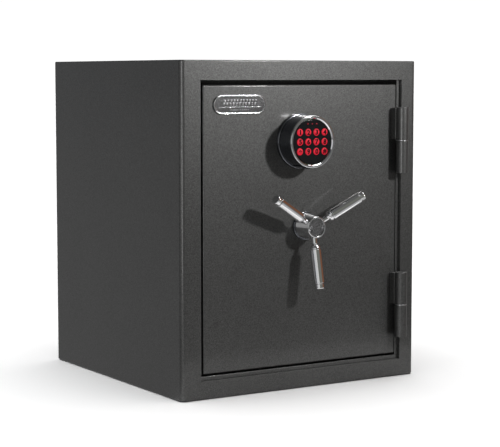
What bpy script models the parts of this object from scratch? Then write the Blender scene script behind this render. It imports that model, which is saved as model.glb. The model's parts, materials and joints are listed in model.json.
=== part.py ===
"""A fire-lined steel safe with a round electronic keypad and a three-spoke handle.

Frame: the origin is the centre of the base's underside, +Z is up, the door faces -Y and is
hinged at +X. Lengths are metres. A depth is counted from the front face, positive into the
safe. A flat region is (left, right, bottom, top). The door is modelled shut, with its bolts
drawn, so that each joint can move on its own from here.
"""
import math

import bmesh
import bpy
from mathutils import Vector

# Body
WIDTH = 0.445
DEPTH = 0.437
HEIGHT = 0.520
SHEET = 0.0025
FRONT_BEND = 0.0074
EDGE_BEND = 0.0020
GAP = 0.0003
FACE_Y = -DEPTH / 2

# Door opening and the frame that lines it, with a stop that the shut door rests against
OPENING = (-0.1877, 0.1935, 0.0276, 0.4895)
STOP_INSET = 0.0150
STOP_DEPTH = 0.0385
FRAME_WALL = 0.0030
FRAME_DEPTH = 0.0900
SEAL_WIDTH = 0.0100

# Strongbox inside
LINER_WALL = 0.0015
BACK_WALL = 0.0400
SHELF_HEIGHT = 0.2550
SHELF_SHEET = 0.0015
SHELF_LIP = 0.0120
SHELF_FRONT = 0.1150
RAIL_WIDTH = 0.0120
MAT_THICKNESS = 0.0025
ANCHOR_DEPTH = 0.2450
ANCHOR_RADIUS = 0.0070

# Door slab and the boltwork housing on its inner side
DOOR = (-0.1810, 0.1865, 0.0376, 0.4822)
DOOR_RECESS = 0.0050
DOOR_RIM_DEPTH = 0.0350
DOOR_SHEET = 0.0030
DOOR_EDGE = 0.0025
HOUSING = (-0.1620, 0.1720, 0.0500, 0.4670)
HOUSING_DEPTH = 0.0732
HOUSING_SHEET = 0.0020
COVER_SHEET = 0.0015

# Bolts
BOLT_RADIUS = 0.0110
BOLT_DEPTH = 0.0560
BOLT_HEIGHTS = (0.120, 0.260, 0.400)
DEAD_BOLT_HEIGHTS = (0.120, 0.400)
DEAD_BOLT_TIP = 0.1960
BOLT_TIP = -0.1635
BOLT_BEVEL = 0.0015
CARRIAGE_BAR = (-0.1330, -0.1210, 0.1020, 0.4180)
CARRIAGE_PLATE = (-0.1300, 0.0420, 0.2780, 0.3490)
CARRIAGE_DEPTHS = (0.0440, 0.0480)

# Handle, on its shaft, with the crank that throws the bolts
HANDLE = (0.0060, 0.2590)
HANDLE_TURN = math.radians(45)
CRANK_RADIUS = 0.0340
CRANK_PIN_RADIUS = 0.0045
CRANK_DEPTHS = (0.0380, 0.0434)
SHAFT_RADIUS = 0.0070
BUSH_RADIUS = 0.0100
ROSE_RADIUS = 0.0225
HUB_BASE_RADIUS = 0.0215
HUB_FRONT_RADIUS = 0.01675
HUB_FRONT = 0.0300
SPOKE_ANGLES = (30, 150, 270)
SPOKE_START = 0.0125
SPOKE_LENGTH = 0.0965
SPOKE_FORWARD = 0.0211
SPOKE_RAKE = math.atan(0.2065)
NECK_RADIUS = 0.0039
GRIP_RADIUS = 0.0088
GRIP_TIP_RADIUS = 0.0084
COLLAR_RADIUS = 0.0087
CAP_RADIUS = 0.0078

# Keypad
KEYPAD = (-0.0045, 0.3935)
KEYPAD_BASE_RADIUS = 0.0435
KEYPAD_RADIUS = 0.0410
KEYPAD_WALL = 0.0025
BEZEL_FRONT = 0.0335
FACE_RADIUS = 0.0350
FACE_FRONT = 0.0313
FACE_BACK = 0.0290
KEY_RADIUS = 0.0064
KEY_FLANGE_RADIUS = 0.0072
KEY_PITCH_X = 0.01533
KEY_PITCH_Z = 0.0150
KEY_COLUMNS = 4
KEY_ROWS = 3
LIGHT_RISE = 0.0280
LIGHT_PITCH = 0.0080
LEAD_RISE = 0.0205
LEAD_RADIUS = 0.0018
BATTERY_SIZE = (0.0262, 0.0172, 0.0480)
DRAWER_HALF_WIDTH = 0.0148
DRAWER_FRONT = 0.0223
DRAWER_BACK = 0.0022
DRAWER_TOP = 0.0120
DRAWER_WALL = 0.0013

# Combination lock behind the keypad
LOCK = (-0.0350, 0.0260, 0.3510, 0.4360)
LOCK_DEPTHS = (0.0376, 0.0690)
LOCK_BOLT_HALF_WIDTH = 0.0070
LOCK_BOLT_DEPTHS = (0.0420, 0.0500)
LOCK_BOLT_LENGTH = 0.0300
LOCK_BOLT_TRAVEL = 0.0120

# Hinges, each with a knuckle on the frame below and a knuckle on the door above
HINGE_X = 0.1875
HINGE_DEPTH = -0.0105
HINGE_RADIUS = 0.0100
HINGE_PIN_RADIUS = 0.0045
HINGE_BASES = {"lower": 0.0670, "upper": 0.3375}
KNUCKLE_LENGTH = 0.0527
WASHER_THICKNESS = 0.0012
DOOR_LEAF = (0.1755, 0.1860)
FRAME_LEAF_RIGHT = 0.2070
FRAME_LEAF_CLEAR = 0.1980

# Name plate
PLATE_CENTRE = (-0.1160, 0.4520)
PLATE_HALF_LENGTH = 0.0470
PLATE_HALF_HEIGHT = 0.0150
PLATE_THICKNESS = 0.0024

FORWARD = (math.radians(90), 0.0, 0.0)
SIDEWAYS = (0.0, math.radians(90), 0.0)
UPRIGHT = (0.0, 0.0, 0.0)

# Base colour, roughness and metallic value of each finish
FINISHES = {
    "charcoal_paint": ((0.075, 0.076, 0.074), 0.42, 0.55),
    "liner_paint": ((0.16, 0.16, 0.16), 0.60, 0.0),
    "fire_board": ((0.62, 0.60, 0.55), 0.90, 0.0),
    "seal_rubber": ((0.10, 0.10, 0.10), 0.75, 0.0),
    "mat_felt": ((0.06, 0.06, 0.065), 0.95, 0.0),
    "chrome": ((0.80, 0.80, 0.81), 0.08, 1.0),
    "steel": ((0.45, 0.45, 0.46), 0.35, 1.0),
    "bronze": ((0.50, 0.34, 0.16), 0.40, 1.0),
    "black_gloss": ((0.02, 0.02, 0.022), 0.18, 0.0),
    "red_key": ((0.75, 0.03, 0.07), 0.35, 0.0),
    "circuit_board": ((0.02, 0.16, 0.07), 0.50, 0.0),
    "battery_jacket": ((0.10, 0.10, 0.12), 0.40, 0.0),
    "zinc": ((0.55, 0.55, 0.53), 0.45, 1.0),
    "lead_jacket": ((0.03, 0.03, 0.03), 0.50, 0.0),
    "plate_silver": ((0.42, 0.42, 0.43), 0.30, 1.0),
}


def clear_scene():
    for item in list(bpy.data.objects):
        bpy.data.objects.remove(item, do_unlink=True)


def new_collection(name):
    collection = bpy.data.collections.new(name)
    bpy.context.scene.collection.children.link(collection)
    return collection


clear_scene()
PARTS = new_collection("safe")
TOOLS = new_collection("safe_cutters")


# ---------------------------------------------------------------- building blocks

def inset(rect, amount):
    left, right, bottom, top = rect
    return (left + amount, right - amount, bottom + amount, top - amount)


def around(centre, half_width, half_height):
    x, z = centre
    return (x - half_width, x + half_width, z - half_height, z + half_height)


def at(centre, depth=0.0):
    return Vector((centre[0], FACE_Y + depth, centre[1]))


def add_object(name, data, location, rotation=UPRIGHT):
    piece = bpy.data.objects.new(name, data)
    piece.location = location
    piece.rotation_euler = rotation
    PARTS.objects.link(piece)
    return piece


def finish_material(name):
    found = bpy.data.materials.get(name)
    if found:
        return found
    colour, roughness, metallic = FINISHES[name]
    material = bpy.data.materials.new(name)
    material.use_nodes = True
    shader = material.node_tree.nodes["Principled BSDF"]
    shader.inputs["Base Color"].default_value = (*colour, 1.0)
    shader.inputs["Roughness"].default_value = roughness
    shader.inputs["Metallic"].default_value = metallic
    material.diffuse_color = (*colour, 1.0)
    return material


def finish(piece, material_name, carrier=None):
    """Gives a piece its finish and, if it moves, the empty that carries it."""
    piece.data.materials.clear()
    piece.data.materials.append(finish_material(material_name))
    if carrier:
        piece.parent = carrier
        piece.matrix_parent_inverse = carrier.matrix_world.inverted()
    return piece


def carrier(name, location, parent=None):
    empty = bpy.data.objects.new(name, None)
    empty.empty_display_size = 0.02
    empty.location = location
    PARTS.objects.link(empty)
    bpy.context.view_layer.update()
    if parent:
        empty.parent = parent
        empty.matrix_parent_inverse = parent.matrix_world.inverted()
    bpy.context.view_layer.update()
    return empty


def block(name, rect, depths, bevel=0.0, bevel_steps=2):
    left, right, bottom, top = rect
    front, back = depths
    shape = bmesh.new()
    bmesh.ops.create_cube(shape, size=1.0)
    bmesh.ops.scale(shape, vec=(right - left, back - front, top - bottom), verts=shape.verts)
    mesh = bpy.data.meshes.new(name)
    shape.to_mesh(mesh)
    shape.free()
    centre = at(((left + right) / 2, (bottom + top) / 2), (front + back) / 2)
    piece = add_object(name, mesh, centre)
    if bevel:
        round_edges(piece, bevel, bevel_steps)
    return piece


def round_edges(piece, width, steps=2):
    modifier = piece.modifiers.new("rounded_edges", "BEVEL")
    modifier.width = width
    modifier.segments = steps
    modifier.limit_method = "ANGLE"
    modifier.angle_limit = math.radians(40)


def turned(name, profile, location, rotation=FORWARD, steps=32, ring=False):
    """Turns a profile of (radius, height) points, listed down its outer side, about local Z."""
    points = [(radius, 0.0, height) for radius, height in profile]
    edges = [(index, index + 1) for index in range(len(points) - 1)]
    if ring:
        edges.append((len(points) - 1, 0))
    mesh = bpy.data.meshes.new(name)
    mesh.from_pydata(points, edges, [])
    piece = add_object(name, mesh, location, rotation)
    screw = piece.modifiers.new("turn", "SCREW")
    screw.axis = "Z"
    screw.steps = steps
    screw.render_steps = steps
    screw.use_merge_vertices = True
    screw.merge_threshold = 0.00001
    return piece


def disc(name, radius, low, high, location, rotation=FORWARD, steps=32):
    profile = [(0.0, high), (radius, high), (radius, low), (0.0, low)]
    return turned(name, profile, location, rotation, steps)


def tube(name, outer, inner, low, high, location, rotation=FORWARD, steps=32):
    profile = [(inner, high), (outer, high), (outer, low), (inner, low)]
    return turned(name, profile, location, rotation, steps, ring=True)


def corner(centre, radius, start, end, steps):
    """Points along an arc in the profile plane, in degrees from the outward direction."""
    angles = [math.radians(start + (end - start) * step / steps) for step in range(steps + 1)]
    return [(centre[0] + radius * math.cos(a), centre[1] + radius * math.sin(a)) for a in angles]


def as_tool(piece):
    PARTS.objects.unlink(piece)
    TOOLS.objects.link(piece)
    piece.hide_render = True
    piece.display_type = "WIRE"
    return piece


def combine(target, other, operation):
    modifier = target.modifiers.new(other.name, "BOOLEAN")
    modifier.object = as_tool(other)
    modifier.operation = operation
    return target


def cut(target, other):
    return combine(target, other, "DIFFERENCE")


def fuse(target, other):
    return combine(target, other, "UNION")


def link_outline(distance, radius_a, radius_b, steps=10):
    """The outline around two circles, the first at the origin and the second above it."""
    lean = math.degrees(math.asin((radius_a - radius_b) / distance))
    upper = corner((0.0, distance), radius_b, lean, 180 - lean, steps)
    lower = corner((0.0, 0.0), radius_a, 180 - lean, 360 + lean, steps)
    return upper + lower


def flat_plate(name, outline, thickness, location, rotation=FORWARD):
    """A flat outline with half its thickness on each side of its origin, as a closed mesh."""
    curve = bpy.data.curves.new(name, "CURVE")
    curve.dimensions = "2D"
    curve.fill_mode = "BOTH"
    curve.extrude = thickness / 2
    spline = curve.splines.new("POLY")
    spline.points.add(len(outline) - 1)
    for point, (x, y) in zip(spline.points, outline):
        point.co = (x, y, 0.0, 1.0)
    spline.use_cyclic_u = True
    drawn = add_object(name + "_outline", curve, location, rotation)
    return mesh_of(drawn, name)


def mesh_of(drawn, name):
    """Replaces a curve object with a welded mesh of the same shape."""
    bpy.context.view_layer.update()
    graph = bpy.context.evaluated_depsgraph_get()
    mesh = bpy.data.meshes.new_from_object(drawn.evaluated_get(graph))
    shape = bmesh.new()
    shape.from_mesh(mesh)
    bmesh.ops.remove_doubles(shape, verts=shape.verts, dist=0.00001)
    bmesh.ops.recalc_face_normals(shape, faces=shape.faces)
    shape.to_mesh(mesh)
    shape.free()
    mesh.name = name
    piece = add_object(name, mesh, drawn.location, drawn.rotation_euler)
    bpy.data.objects.remove(drawn, do_unlink=True)
    return piece


# ---------------------------------------------------------------- body

def shell_surface():
    """The outside of the body without its back, bent round at the front's upright edges."""
    shape = bmesh.new()
    bmesh.ops.create_cube(shape, size=1.0)
    bmesh.ops.scale(shape, vec=(WIDTH, DEPTH, HEIGHT), verts=shape.verts)
    back = [face for face in shape.faces if face.normal.y > 0.9]
    bmesh.ops.delete(shape, geom=back, context="FACES")
    bends = [edge for edge in shape.edges if upright(edge) and in_front(edge)]
    bmesh.ops.bevel(shape, geom=bends, offset=FRONT_BEND, segments=5, profile=0.5, affect="EDGES")
    rims = [edge for edge in shape.edges if level(edge) and not on_back(edge)]
    bmesh.ops.bevel(shape, geom=rims, offset=EDGE_BEND, segments=2, profile=0.5, affect="EDGES")
    mesh = bpy.data.meshes.new("body_shell")
    shape.to_mesh(mesh)
    shape.free()
    return mesh


def upright(edge):
    first, last = (vert.co for vert in edge.verts)
    return abs(first.x - last.x) < 1e-6 and abs(first.y - last.y) < 1e-6


def in_front(edge):
    return all(vert.co.y < 0 for vert in edge.verts)


def level(edge):
    top = HEIGHT / 2 - 1e-6
    return all(vert.co.z > top for vert in edge.verts) or all(vert.co.z < -top for vert in edge.verts)


def on_back(edge):
    return all(vert.co.y > DEPTH / 2 - 1e-6 for vert in edge.verts)


def body_shell():
    piece = add_object("body_shell", shell_surface(), (0.0, 0.0, HEIGHT / 2))
    thicken = piece.modifiers.new("sheet", "SOLIDIFY")
    thicken.thickness = SHEET
    thicken.offset = -1.0
    cut(piece, block("shell_opening", OPENING, (-0.02, 0.02)))
    cut(piece, anchor_tool("shell_anchor_hole", ANCHOR_RADIUS))
    finish(piece, "charcoal_paint")


def anchor_tool(name, radius):
    centre = Vector(((OPENING[0] + OPENING[1]) / 2, FACE_Y + ANCHOR_DEPTH, 0.0))
    return disc(name, radius, -0.02, 0.08, centre, UPRIGHT, steps=24)


def back_panel():
    inside = SHEET + GAP
    rect = (-WIDTH / 2 + inside, WIDTH / 2 - inside, inside, HEIGHT - inside)
    finish(block("back_panel", rect, (DEPTH - SHEET - 0.0005, DEPTH - 0.0005)), "charcoal_paint")


def frame_steps(name, spare):
    """The space inside the door frame: a wide front part and a narrower part past the stop."""
    front = block(name + "_front", inset(OPENING, -spare), (SHEET - 0.01, STOP_DEPTH + spare))
    rear = block(name + "_rear", inset(OPENING, STOP_INSET - spare), (0.0, FRAME_DEPTH + 0.01))
    return front, rear


def door_frame():
    start = SHEET + GAP
    outer = block("door_frame", inset(OPENING, -FRAME_WALL), (start, STOP_DEPTH + FRAME_WALL))
    fuse(outer, block("frame_rear_sleeve", inset(OPENING, STOP_INSET - FRAME_WALL),
                      (start + 0.01, FRAME_DEPTH)))
    for space in frame_steps("frame_space", 0.0):
        cut(outer, space)
    for tool in bolt_holes("frame", 0.0020):
        cut(outer, tool)
    finish(outer, "charcoal_paint")


def bolt_holes(name, spare):
    """Cutters for the holes that the live and dead bolts enter, each past the stop's wall."""
    holes = []
    for index, height in enumerate(BOLT_HEIGHTS):
        place = at((-0.175, height), BOLT_DEPTH)
        holes.append(disc(f"{name}_bolt_hole_{index}", BOLT_RADIUS + spare, -0.018 - spare, 0.010,
                          place, SIDEWAYS))
    for index, height in enumerate(DEAD_BOLT_HEIGHTS):
        place = at((0.180, height), BOLT_DEPTH)
        holes.append(disc(f"{name}_dead_bolt_hole_{index}", BOLT_RADIUS + spare, -0.010,
                          0.020 + spare, place, SIDEWAYS))
    return holes


def door_seal():
    """A soft strip around the stop, which the rim of the shut door presses on."""
    depths = (DOOR_RIM_DEPTH + GAP, STOP_DEPTH - GAP)
    strip = block("door_seal", inset(OPENING, STOP_INSET - SEAL_WIDTH), depths)
    cut(strip, block("seal_space", inset(OPENING, STOP_INSET - 0.0005), (0.02, 0.06)))
    finish(strip, "seal_rubber")


def liner_inner():
    return inset(OPENING, STOP_INSET)


def inner_liner():
    front = FRAME_DEPTH + GAP
    back = DEPTH - BACK_WALL
    piece = block("inner_liner", inset(liner_inner(), -LINER_WALL), (front, back))
    cut(piece, block("liner_space", liner_inner(), (front - 0.01, back - LINER_WALL)))
    cut(piece, anchor_tool("liner_anchor_hole", ANCHOR_RADIUS))
    finish(piece, "liner_paint")


def fire_fill():
    """The cast insulation between the shell and everything inside it."""
    inside = SHEET + GAP
    rect = (-WIDTH / 2 + inside, WIDTH / 2 - inside, inside, HEIGHT - inside)
    piece = block("fire_fill", rect, (inside, DEPTH - SHEET - 0.0005 - GAP), 0.0060, 2)
    spare = FRAME_WALL + GAP
    for space in frame_steps("fill_frame_space", spare):
        cut(piece, space)
    liner_room = inset(liner_inner(), -LINER_WALL - GAP)
    cut(piece, block("fill_liner_space", liner_room, (0.05, DEPTH - BACK_WALL + GAP)))
    for tool in bolt_holes("fill", 0.0060):
        cut(piece, tool)
    cut(piece, anchor_tool("fill_anchor_hole", ANCHOR_RADIUS))
    finish(piece, "fire_board")


def floor_mat():
    left, right, bottom, _ = liner_inner()
    rect = (left + 0.002, right - 0.002, bottom + GAP, bottom + GAP + MAT_THICKNESS)
    mat = block("floor_mat", rect, (FRAME_DEPTH + 0.005, DEPTH - BACK_WALL - 0.004))
    cut(mat, anchor_tool("mat_anchor_hole", ANCHOR_RADIUS))
    finish(mat, "mat_felt")


def anchor_plug():
    floor = liner_inner()[2] + GAP + MAT_THICKNESS + GAP
    profile = [(0.0, 0.0025), (0.0095, 0.0025), (0.0110, 0.0), (0.0064, 0.0), (0.0060, -0.012),
               (0.0, -0.012)]
    centre = Vector(((OPENING[0] + OPENING[1]) / 2, FACE_Y + ANCHOR_DEPTH, floor))
    finish(turned("anchor_plug", profile, centre, UPRIGHT, steps=24), "seal_rubber")


def shelf_and_rails():
    left, right, _, _ = liner_inner()
    back = DEPTH - BACK_WALL - LINER_WALL - 0.003
    shelf_rect = (left + 0.002, right - 0.002, SHELF_HEIGHT, SHELF_HEIGHT + SHELF_SHEET)
    shelf = block("shelf", shelf_rect, (SHELF_FRONT, back))
    lip = (shelf_rect[0], shelf_rect[1], SHELF_HEIGHT - SHELF_LIP, SHELF_HEIGHT + 0.0005)
    fuse(shelf, block("shelf_lip", lip, (SHELF_FRONT, SHELF_FRONT + SHELF_SHEET)))
    finish(shelf, "liner_paint")
    for side, wall, inward in (("left", left, 1), ("right", right, -1)):
        edges = sorted((wall + inward * GAP, wall + inward * (GAP + RAIL_WIDTH)))
        rail_rect = (*edges, SHELF_HEIGHT - GAP - 0.0015, SHELF_HEIGHT - GAP)
        rail = block("shelf_rail_" + side, rail_rect, (SHELF_FRONT + 0.010, back - 0.010))
        web = sorted((wall + inward * GAP, wall + inward * (GAP + 0.0015)))
        web_rect = (*web, SHELF_HEIGHT - GAP - RAIL_WIDTH, SHELF_HEIGHT - GAP - 0.0010)
        fuse(rail, block(side + "_rail_web", web_rect, (SHELF_FRONT + 0.010, back - 0.010)))
        finish(rail, "liner_paint")


# ---------------------------------------------------------------- hinges

def hinge(side, base, door_carrier):
    split = base + KNUCKLE_LENGTH
    upper = split + WASHER_THICKNESS + 2 * GAP
    top = upper + KNUCKLE_LENGTH
    axis = Vector((HINGE_X, FACE_Y + HINGE_DEPTH, 0.0))
    frame_knuckle(side, base, split, top, axis)
    door_knuckle(side, upper, top, axis, door_carrier)
    collar = split + GAP
    reach = HINGE_PIN_RADIUS
    profile = [(0.0, top - 0.0015), (reach - 0.0008, top - 0.0015), (reach, top - 0.0024),
               (reach, collar + WASHER_THICKNESS), (HINGE_RADIUS - 0.0003, collar + WASHER_THICKNESS),
               (HINGE_RADIUS - 0.0003, collar), (reach, collar), (reach, base + 0.0015),
               (0.0, base + 0.0015)]
    finish(turned(side + "_hinge_pin", profile, axis, UPRIGHT, steps=24), "steel")


def knuckle(name, low, high, axis):
    soft = 0.0006
    bore = HINGE_PIN_RADIUS + GAP
    profile = [(bore, high), (HINGE_RADIUS - soft, high), (HINGE_RADIUS, high - soft),
               (HINGE_RADIUS, low + soft), (HINGE_RADIUS - soft, low), (bore, low)]
    return turned(name, profile, axis, UPRIGHT, steps=28, ring=True)


def pin_bore(name, low, high, axis):
    return disc(name, HINGE_PIN_RADIUS + GAP, low - 0.005, high + 0.005, axis, UPRIGHT, steps=24)


def frame_knuckle(side, base, split, top, axis):
    """The lower knuckle, with a leaf on the frame that runs up beside the door's knuckle."""
    piece = knuckle(side + "_hinge_frame_knuckle", base, split, axis)
    leaf = (HINGE_X + 0.001, FRAME_LEAF_RIGHT, base + 0.0007, split - 0.0007)
    fuse(piece, block(side + "_leaf_low", leaf, (-0.0033, -GAP)))
    beside = (FRAME_LEAF_CLEAR, FRAME_LEAF_RIGHT - 0.0001, split - 0.010, top - 0.001)
    fuse(piece, block(side + "_leaf_high", beside, (-0.0032, -GAP - 0.0001)))
    finish(piece, "charcoal_paint")


def door_knuckle(side, low, high, axis, door_carrier):
    """The upper knuckle, with a leaf that stands on the door's face."""
    piece = knuckle(side + "_hinge_door_knuckle", low, high, axis)
    leaf = (*DOOR_LEAF, low + 0.001, high - 0.001)
    leaf_block = block(side + "_door_leaf", leaf, (-0.0080, DOOR_RECESS - GAP))
    cut(leaf_block, pin_bore(side + "_leaf_relief", low, high, axis))
    fuse(piece, leaf_block)
    finish(piece, "charcoal_paint", door_carrier)


# ---------------------------------------------------------------- door

def door_slab(door_carrier):
    """The painted outer pan, folded back at its rim, and the insulation inside it."""
    pan = block("door_pan", DOOR, (DOOR_RECESS, DOOR_RIM_DEPTH), DOOR_EDGE, 3)
    room = inset(DOOR, DOOR_SHEET)
    cut(pan, block("pan_space", room, (DOOR_RECESS + DOOR_SHEET, DOOR_RIM_DEPTH + 0.01)))
    for tool in door_passages("pan", GAP):
        cut(pan, tool)
    finish(pan, "charcoal_paint", door_carrier)
    depths = (DOOR_RECESS + DOOR_SHEET + GAP, DOOR_RIM_DEPTH)
    fill = block("door_fill", inset(room, GAP), depths)
    for tool in door_passages("door_fill", 0.0010):
        cut(fill, tool)
    finish(fill, "fire_board", door_carrier)


def door_passages(name, spare):
    """Cutters for the shaft's bush and for the keypad's lead, through the door's thickness."""
    shaft = disc(name + "_shaft_hole", BUSH_RADIUS + spare, -0.06, 0.03, at(HANDLE))
    lead_radius = LEAD_RADIUS + 0.0015 + spare
    lead = disc(name + "_lead_hole", lead_radius, -0.06, 0.03, at(lead_place()), steps=20)
    return shaft, lead


def lead_place():
    return (KEYPAD[0], KEYPAD[1] + LEAD_RISE)


def boltwork_housing(door_carrier):
    """A folded box on the inner side of the door, whose side walls guide the bolts."""
    front = DOOR_RIM_DEPTH + GAP
    piece = block("boltwork_housing", HOUSING, (front, HOUSING_DEPTH), 0.0010, 1)
    room = inset(HOUSING, HOUSING_SHEET)
    cut(piece, block("housing_space", room, (front + HOUSING_SHEET, HOUSING_DEPTH + 0.01)))
    for tool in door_passages("housing", GAP):
        cut(piece, tool)
    for index, height in enumerate(BOLT_HEIGHTS):
        place = at((HOUSING[0], height), BOLT_DEPTH)
        cut(piece, disc(f"housing_bolt_guide_{index}", BOLT_RADIUS + 0.0004, -0.01, 0.01, place,
                        SIDEWAYS))
    finish(piece, "liner_paint", door_carrier)
    cover_depths = (HOUSING_DEPTH + GAP, HOUSING_DEPTH + GAP + COVER_SHEET)
    cover = block("boltwork_cover", inset(HOUSING, 0.0005), cover_depths, 0.0005, 1)
    finish(cover, "liner_paint", door_carrier)


def bolt(name, tip, end, height, carrier_empty):
    """A round bolt along X from its bevelled tip to its flat end."""
    length = abs(end - tip)
    profile = [(0.0, length), (BOLT_RADIUS - BOLT_BEVEL, length), (BOLT_RADIUS, length - BOLT_BEVEL),
               (BOLT_RADIUS, 0.0), (0.0, 0.0)]
    facing = (0.0, math.radians(90 if tip > end else -90), 0.0)
    piece = turned(name, profile, at((end, height), BOLT_DEPTH), facing, steps=24)
    return finish(piece, "chrome", carrier_empty)


def dead_bolts(door_carrier):
    for index, height in enumerate(DEAD_BOLT_HEIGHTS, start=1):
        bolt(f"dead_bolt_{index}", DEAD_BOLT_TIP, HOUSING[1] + GAP, height, door_carrier)


def boltwork(boltwork_carrier):
    """The carriage, which the crank slides sideways, and its live bolts."""
    bar_left = CARRIAGE_BAR[0]
    carriage = block("bolt_carriage", CARRIAGE_BAR, (CARRIAGE_DEPTHS[0], 0.0660))
    fuse(carriage, block("carriage_plate", CARRIAGE_PLATE, CARRIAGE_DEPTHS))
    cut(carriage, crank_slot())
    top = CARRIAGE_PLATE[3]
    for index, offset in enumerate((0.0, bolt_travel())):
        notch = around((KEYPAD[0] + offset, top), LOCK_BOLT_HALF_WIDTH + 0.0006, LOCK_BOLT_TRAVEL + 0.0005)
        cut(carriage, block(f"lock_notch_{index}", notch, (0.04, 0.06)))
    finish(carriage, "zinc", boltwork_carrier)
    for index, height in enumerate(BOLT_HEIGHTS, start=1):
        bolt(f"live_bolt_{index}", BOLT_TIP, bar_left - GAP, height, boltwork_carrier)


def bolt_travel():
    return 2 * CRANK_RADIUS * math.sin(HANDLE_TURN / 2)


def crank_pin_place():
    lean = HANDLE_TURN / 2
    return (HANDLE[0] + CRANK_RADIUS * math.sin(lean), HANDLE[1] + CRANK_RADIUS * math.cos(lean))


def crank_slot():
    """The upright slot that the crank's pin rides in, tall enough for the pin's rise."""
    pin_x, pin_low = crank_pin_place()
    pin_high = HANDLE[1] + CRANK_RADIUS
    spare = CRANK_PIN_RADIUS + 0.0005
    rect = (pin_x - spare, pin_x + spare, pin_low - spare - 0.001, pin_high + spare + 0.001)
    return block("crank_slot", rect, (0.04, 0.06))


# ---------------------------------------------------------------- handle

def handle_rose(door_carrier):
    rounding = corner((ROSE_RADIUS - 0.0012, 0.0008 - DOOR_RECESS + 0.0014), 0.0012, 90, 0, 2)
    bore = BUSH_RADIUS + GAP
    profile = [(bore, rounding[0][1]), *rounding, (ROSE_RADIUS, -DOOR_RECESS + GAP),
               (bore, -DOOR_RECESS + GAP)]
    finish(turned("handle_rose", profile, at(HANDLE), steps=32, ring=True), "chrome", door_carrier)


def shaft_bush(door_carrier):
    bush = tube("shaft_bush", BUSH_RADIUS, SHAFT_RADIUS + GAP, -0.0370, -0.0019, at(HANDLE), steps=24)
    finish(bush, "bronze", door_carrier)


def handle_hub(handle_carrier):
    back = -0.0014
    rounding = corner((HUB_FRONT_RADIUS - 0.0015, HUB_FRONT - 0.0015), 0.0015, 90, 10, 2)
    bore = SHAFT_RADIUS + GAP
    dish = HUB_FRONT - 0.0010
    profile = [(0.0, dish), (0.0142, dish), (0.0146, HUB_FRONT), *rounding,
               (HUB_BASE_RADIUS - 0.0005, back + 0.0012), (HUB_BASE_RADIUS - 0.0015, back),
               (bore, back), (bore, 0.0180), (0.0, 0.0180)]
    hub = turned("handle_hub", profile, at(HANDLE), steps=32)
    for angle in SPOKE_ANGLES:
        socket = disc(f"spoke_socket_{angle}", NECK_RADIUS + 0.0004, -0.0004, 0.02,
                      spoke_root(angle), spoke_rotation(angle), steps=16)
        cut(hub, socket)
    finish(hub, "chrome", handle_carrier)


def spoke_direction(angle):
    turn = math.radians(angle)
    outward = Vector((math.cos(turn), 0.0, math.sin(turn)))
    return outward * math.cos(SPOKE_RAKE) + Vector((0.0, -math.sin(SPOKE_RAKE), 0.0))


def spoke_rotation(angle):
    return spoke_direction(angle).to_track_quat("Z", "Y").to_euler()


def spoke_root(angle):
    turn = math.radians(angle)
    x = HANDLE[0] + SPOKE_START * math.cos(turn)
    z = HANDLE[1] + SPOKE_START * math.sin(turn)
    return at((x, z), -SPOKE_FORWARD)


def spoke_profile():
    """From the tip: an end cap, a groove, a slightly tapered grip, a collar and a thin neck."""
    scale = 1 / math.cos(SPOKE_RAKE)
    tip = (SPOKE_LENGTH - SPOKE_START) * scale
    cap = corner((CAP_RADIUS - 0.0020, tip - 0.0018), 0.0018, 90, 0, 2)
    return [
        (0.0, tip), *cap, (CAP_RADIUS, tip - 0.0070), (0.0064, tip - 0.0074),
        (0.0064, tip - 0.0084), (GRIP_TIP_RADIUS, tip - 0.0090), (GRIP_RADIUS, 0.0240), (0.0076, 0.0232),
        (0.0076, 0.0222), (COLLAR_RADIUS, 0.0214), (0.0072, 0.0178), (NECK_RADIUS, 0.0145),
        (NECK_RADIUS, 0.0), (0.0, 0.0)]


def spokes(handle_carrier):
    for index, angle in enumerate(SPOKE_ANGLES, start=1):
        spoke = turned(f"spoke_{index}", spoke_profile(), spoke_root(angle), spoke_rotation(angle), steps=20)
        finish(spoke, "chrome", handle_carrier)


def handle_shaft(handle_carrier):
    profile = [(0.0, 0.0176), (0.0060, 0.0176), (SHAFT_RADIUS, 0.0166), (SHAFT_RADIUS, -0.0510),
               (0.0060, -0.0520), (0.0, -0.0520)]
    finish(turned("handle_shaft", profile, at(HANDLE), steps=24), "steel", handle_carrier)


def crank(handle_carrier):
    """The lever on the shaft's inner end. Its pin stands off it, into the carriage's slot."""
    front, back = CRANK_DEPTHS
    place = at(HANDLE, (front + back) / 2)
    lean = (math.radians(90), HANDLE_TURN / 2, 0.0)
    lever = flat_plate("crank", link_outline(CRANK_RADIUS, 0.0120, 0.0080), back - front, place, lean)
    cut(lever, disc("crank_bore", SHAFT_RADIUS + GAP, -0.01, 0.01, place, steps=24))
    pin = disc("crank_pin", CRANK_PIN_RADIUS, -0.0495, -back + 0.0020, at(crank_pin_place()), steps=24)
    fuse(lever, pin)
    finish(lever, "zinc", handle_carrier)


def shaft_nut(handle_carrier):
    low, high = -0.0490, -CRANK_DEPTHS[1] - GAP
    hexagon = disc("shaft_nut", 0.0110, low, high, at(HANDLE), steps=6)
    cut(hexagon, disc("nut_bore", SHAFT_RADIUS + GAP, -0.06, 0.0, at(HANDLE), steps=24))
    finish(hexagon, "steel", handle_carrier)


# ---------------------------------------------------------------- lock

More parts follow.
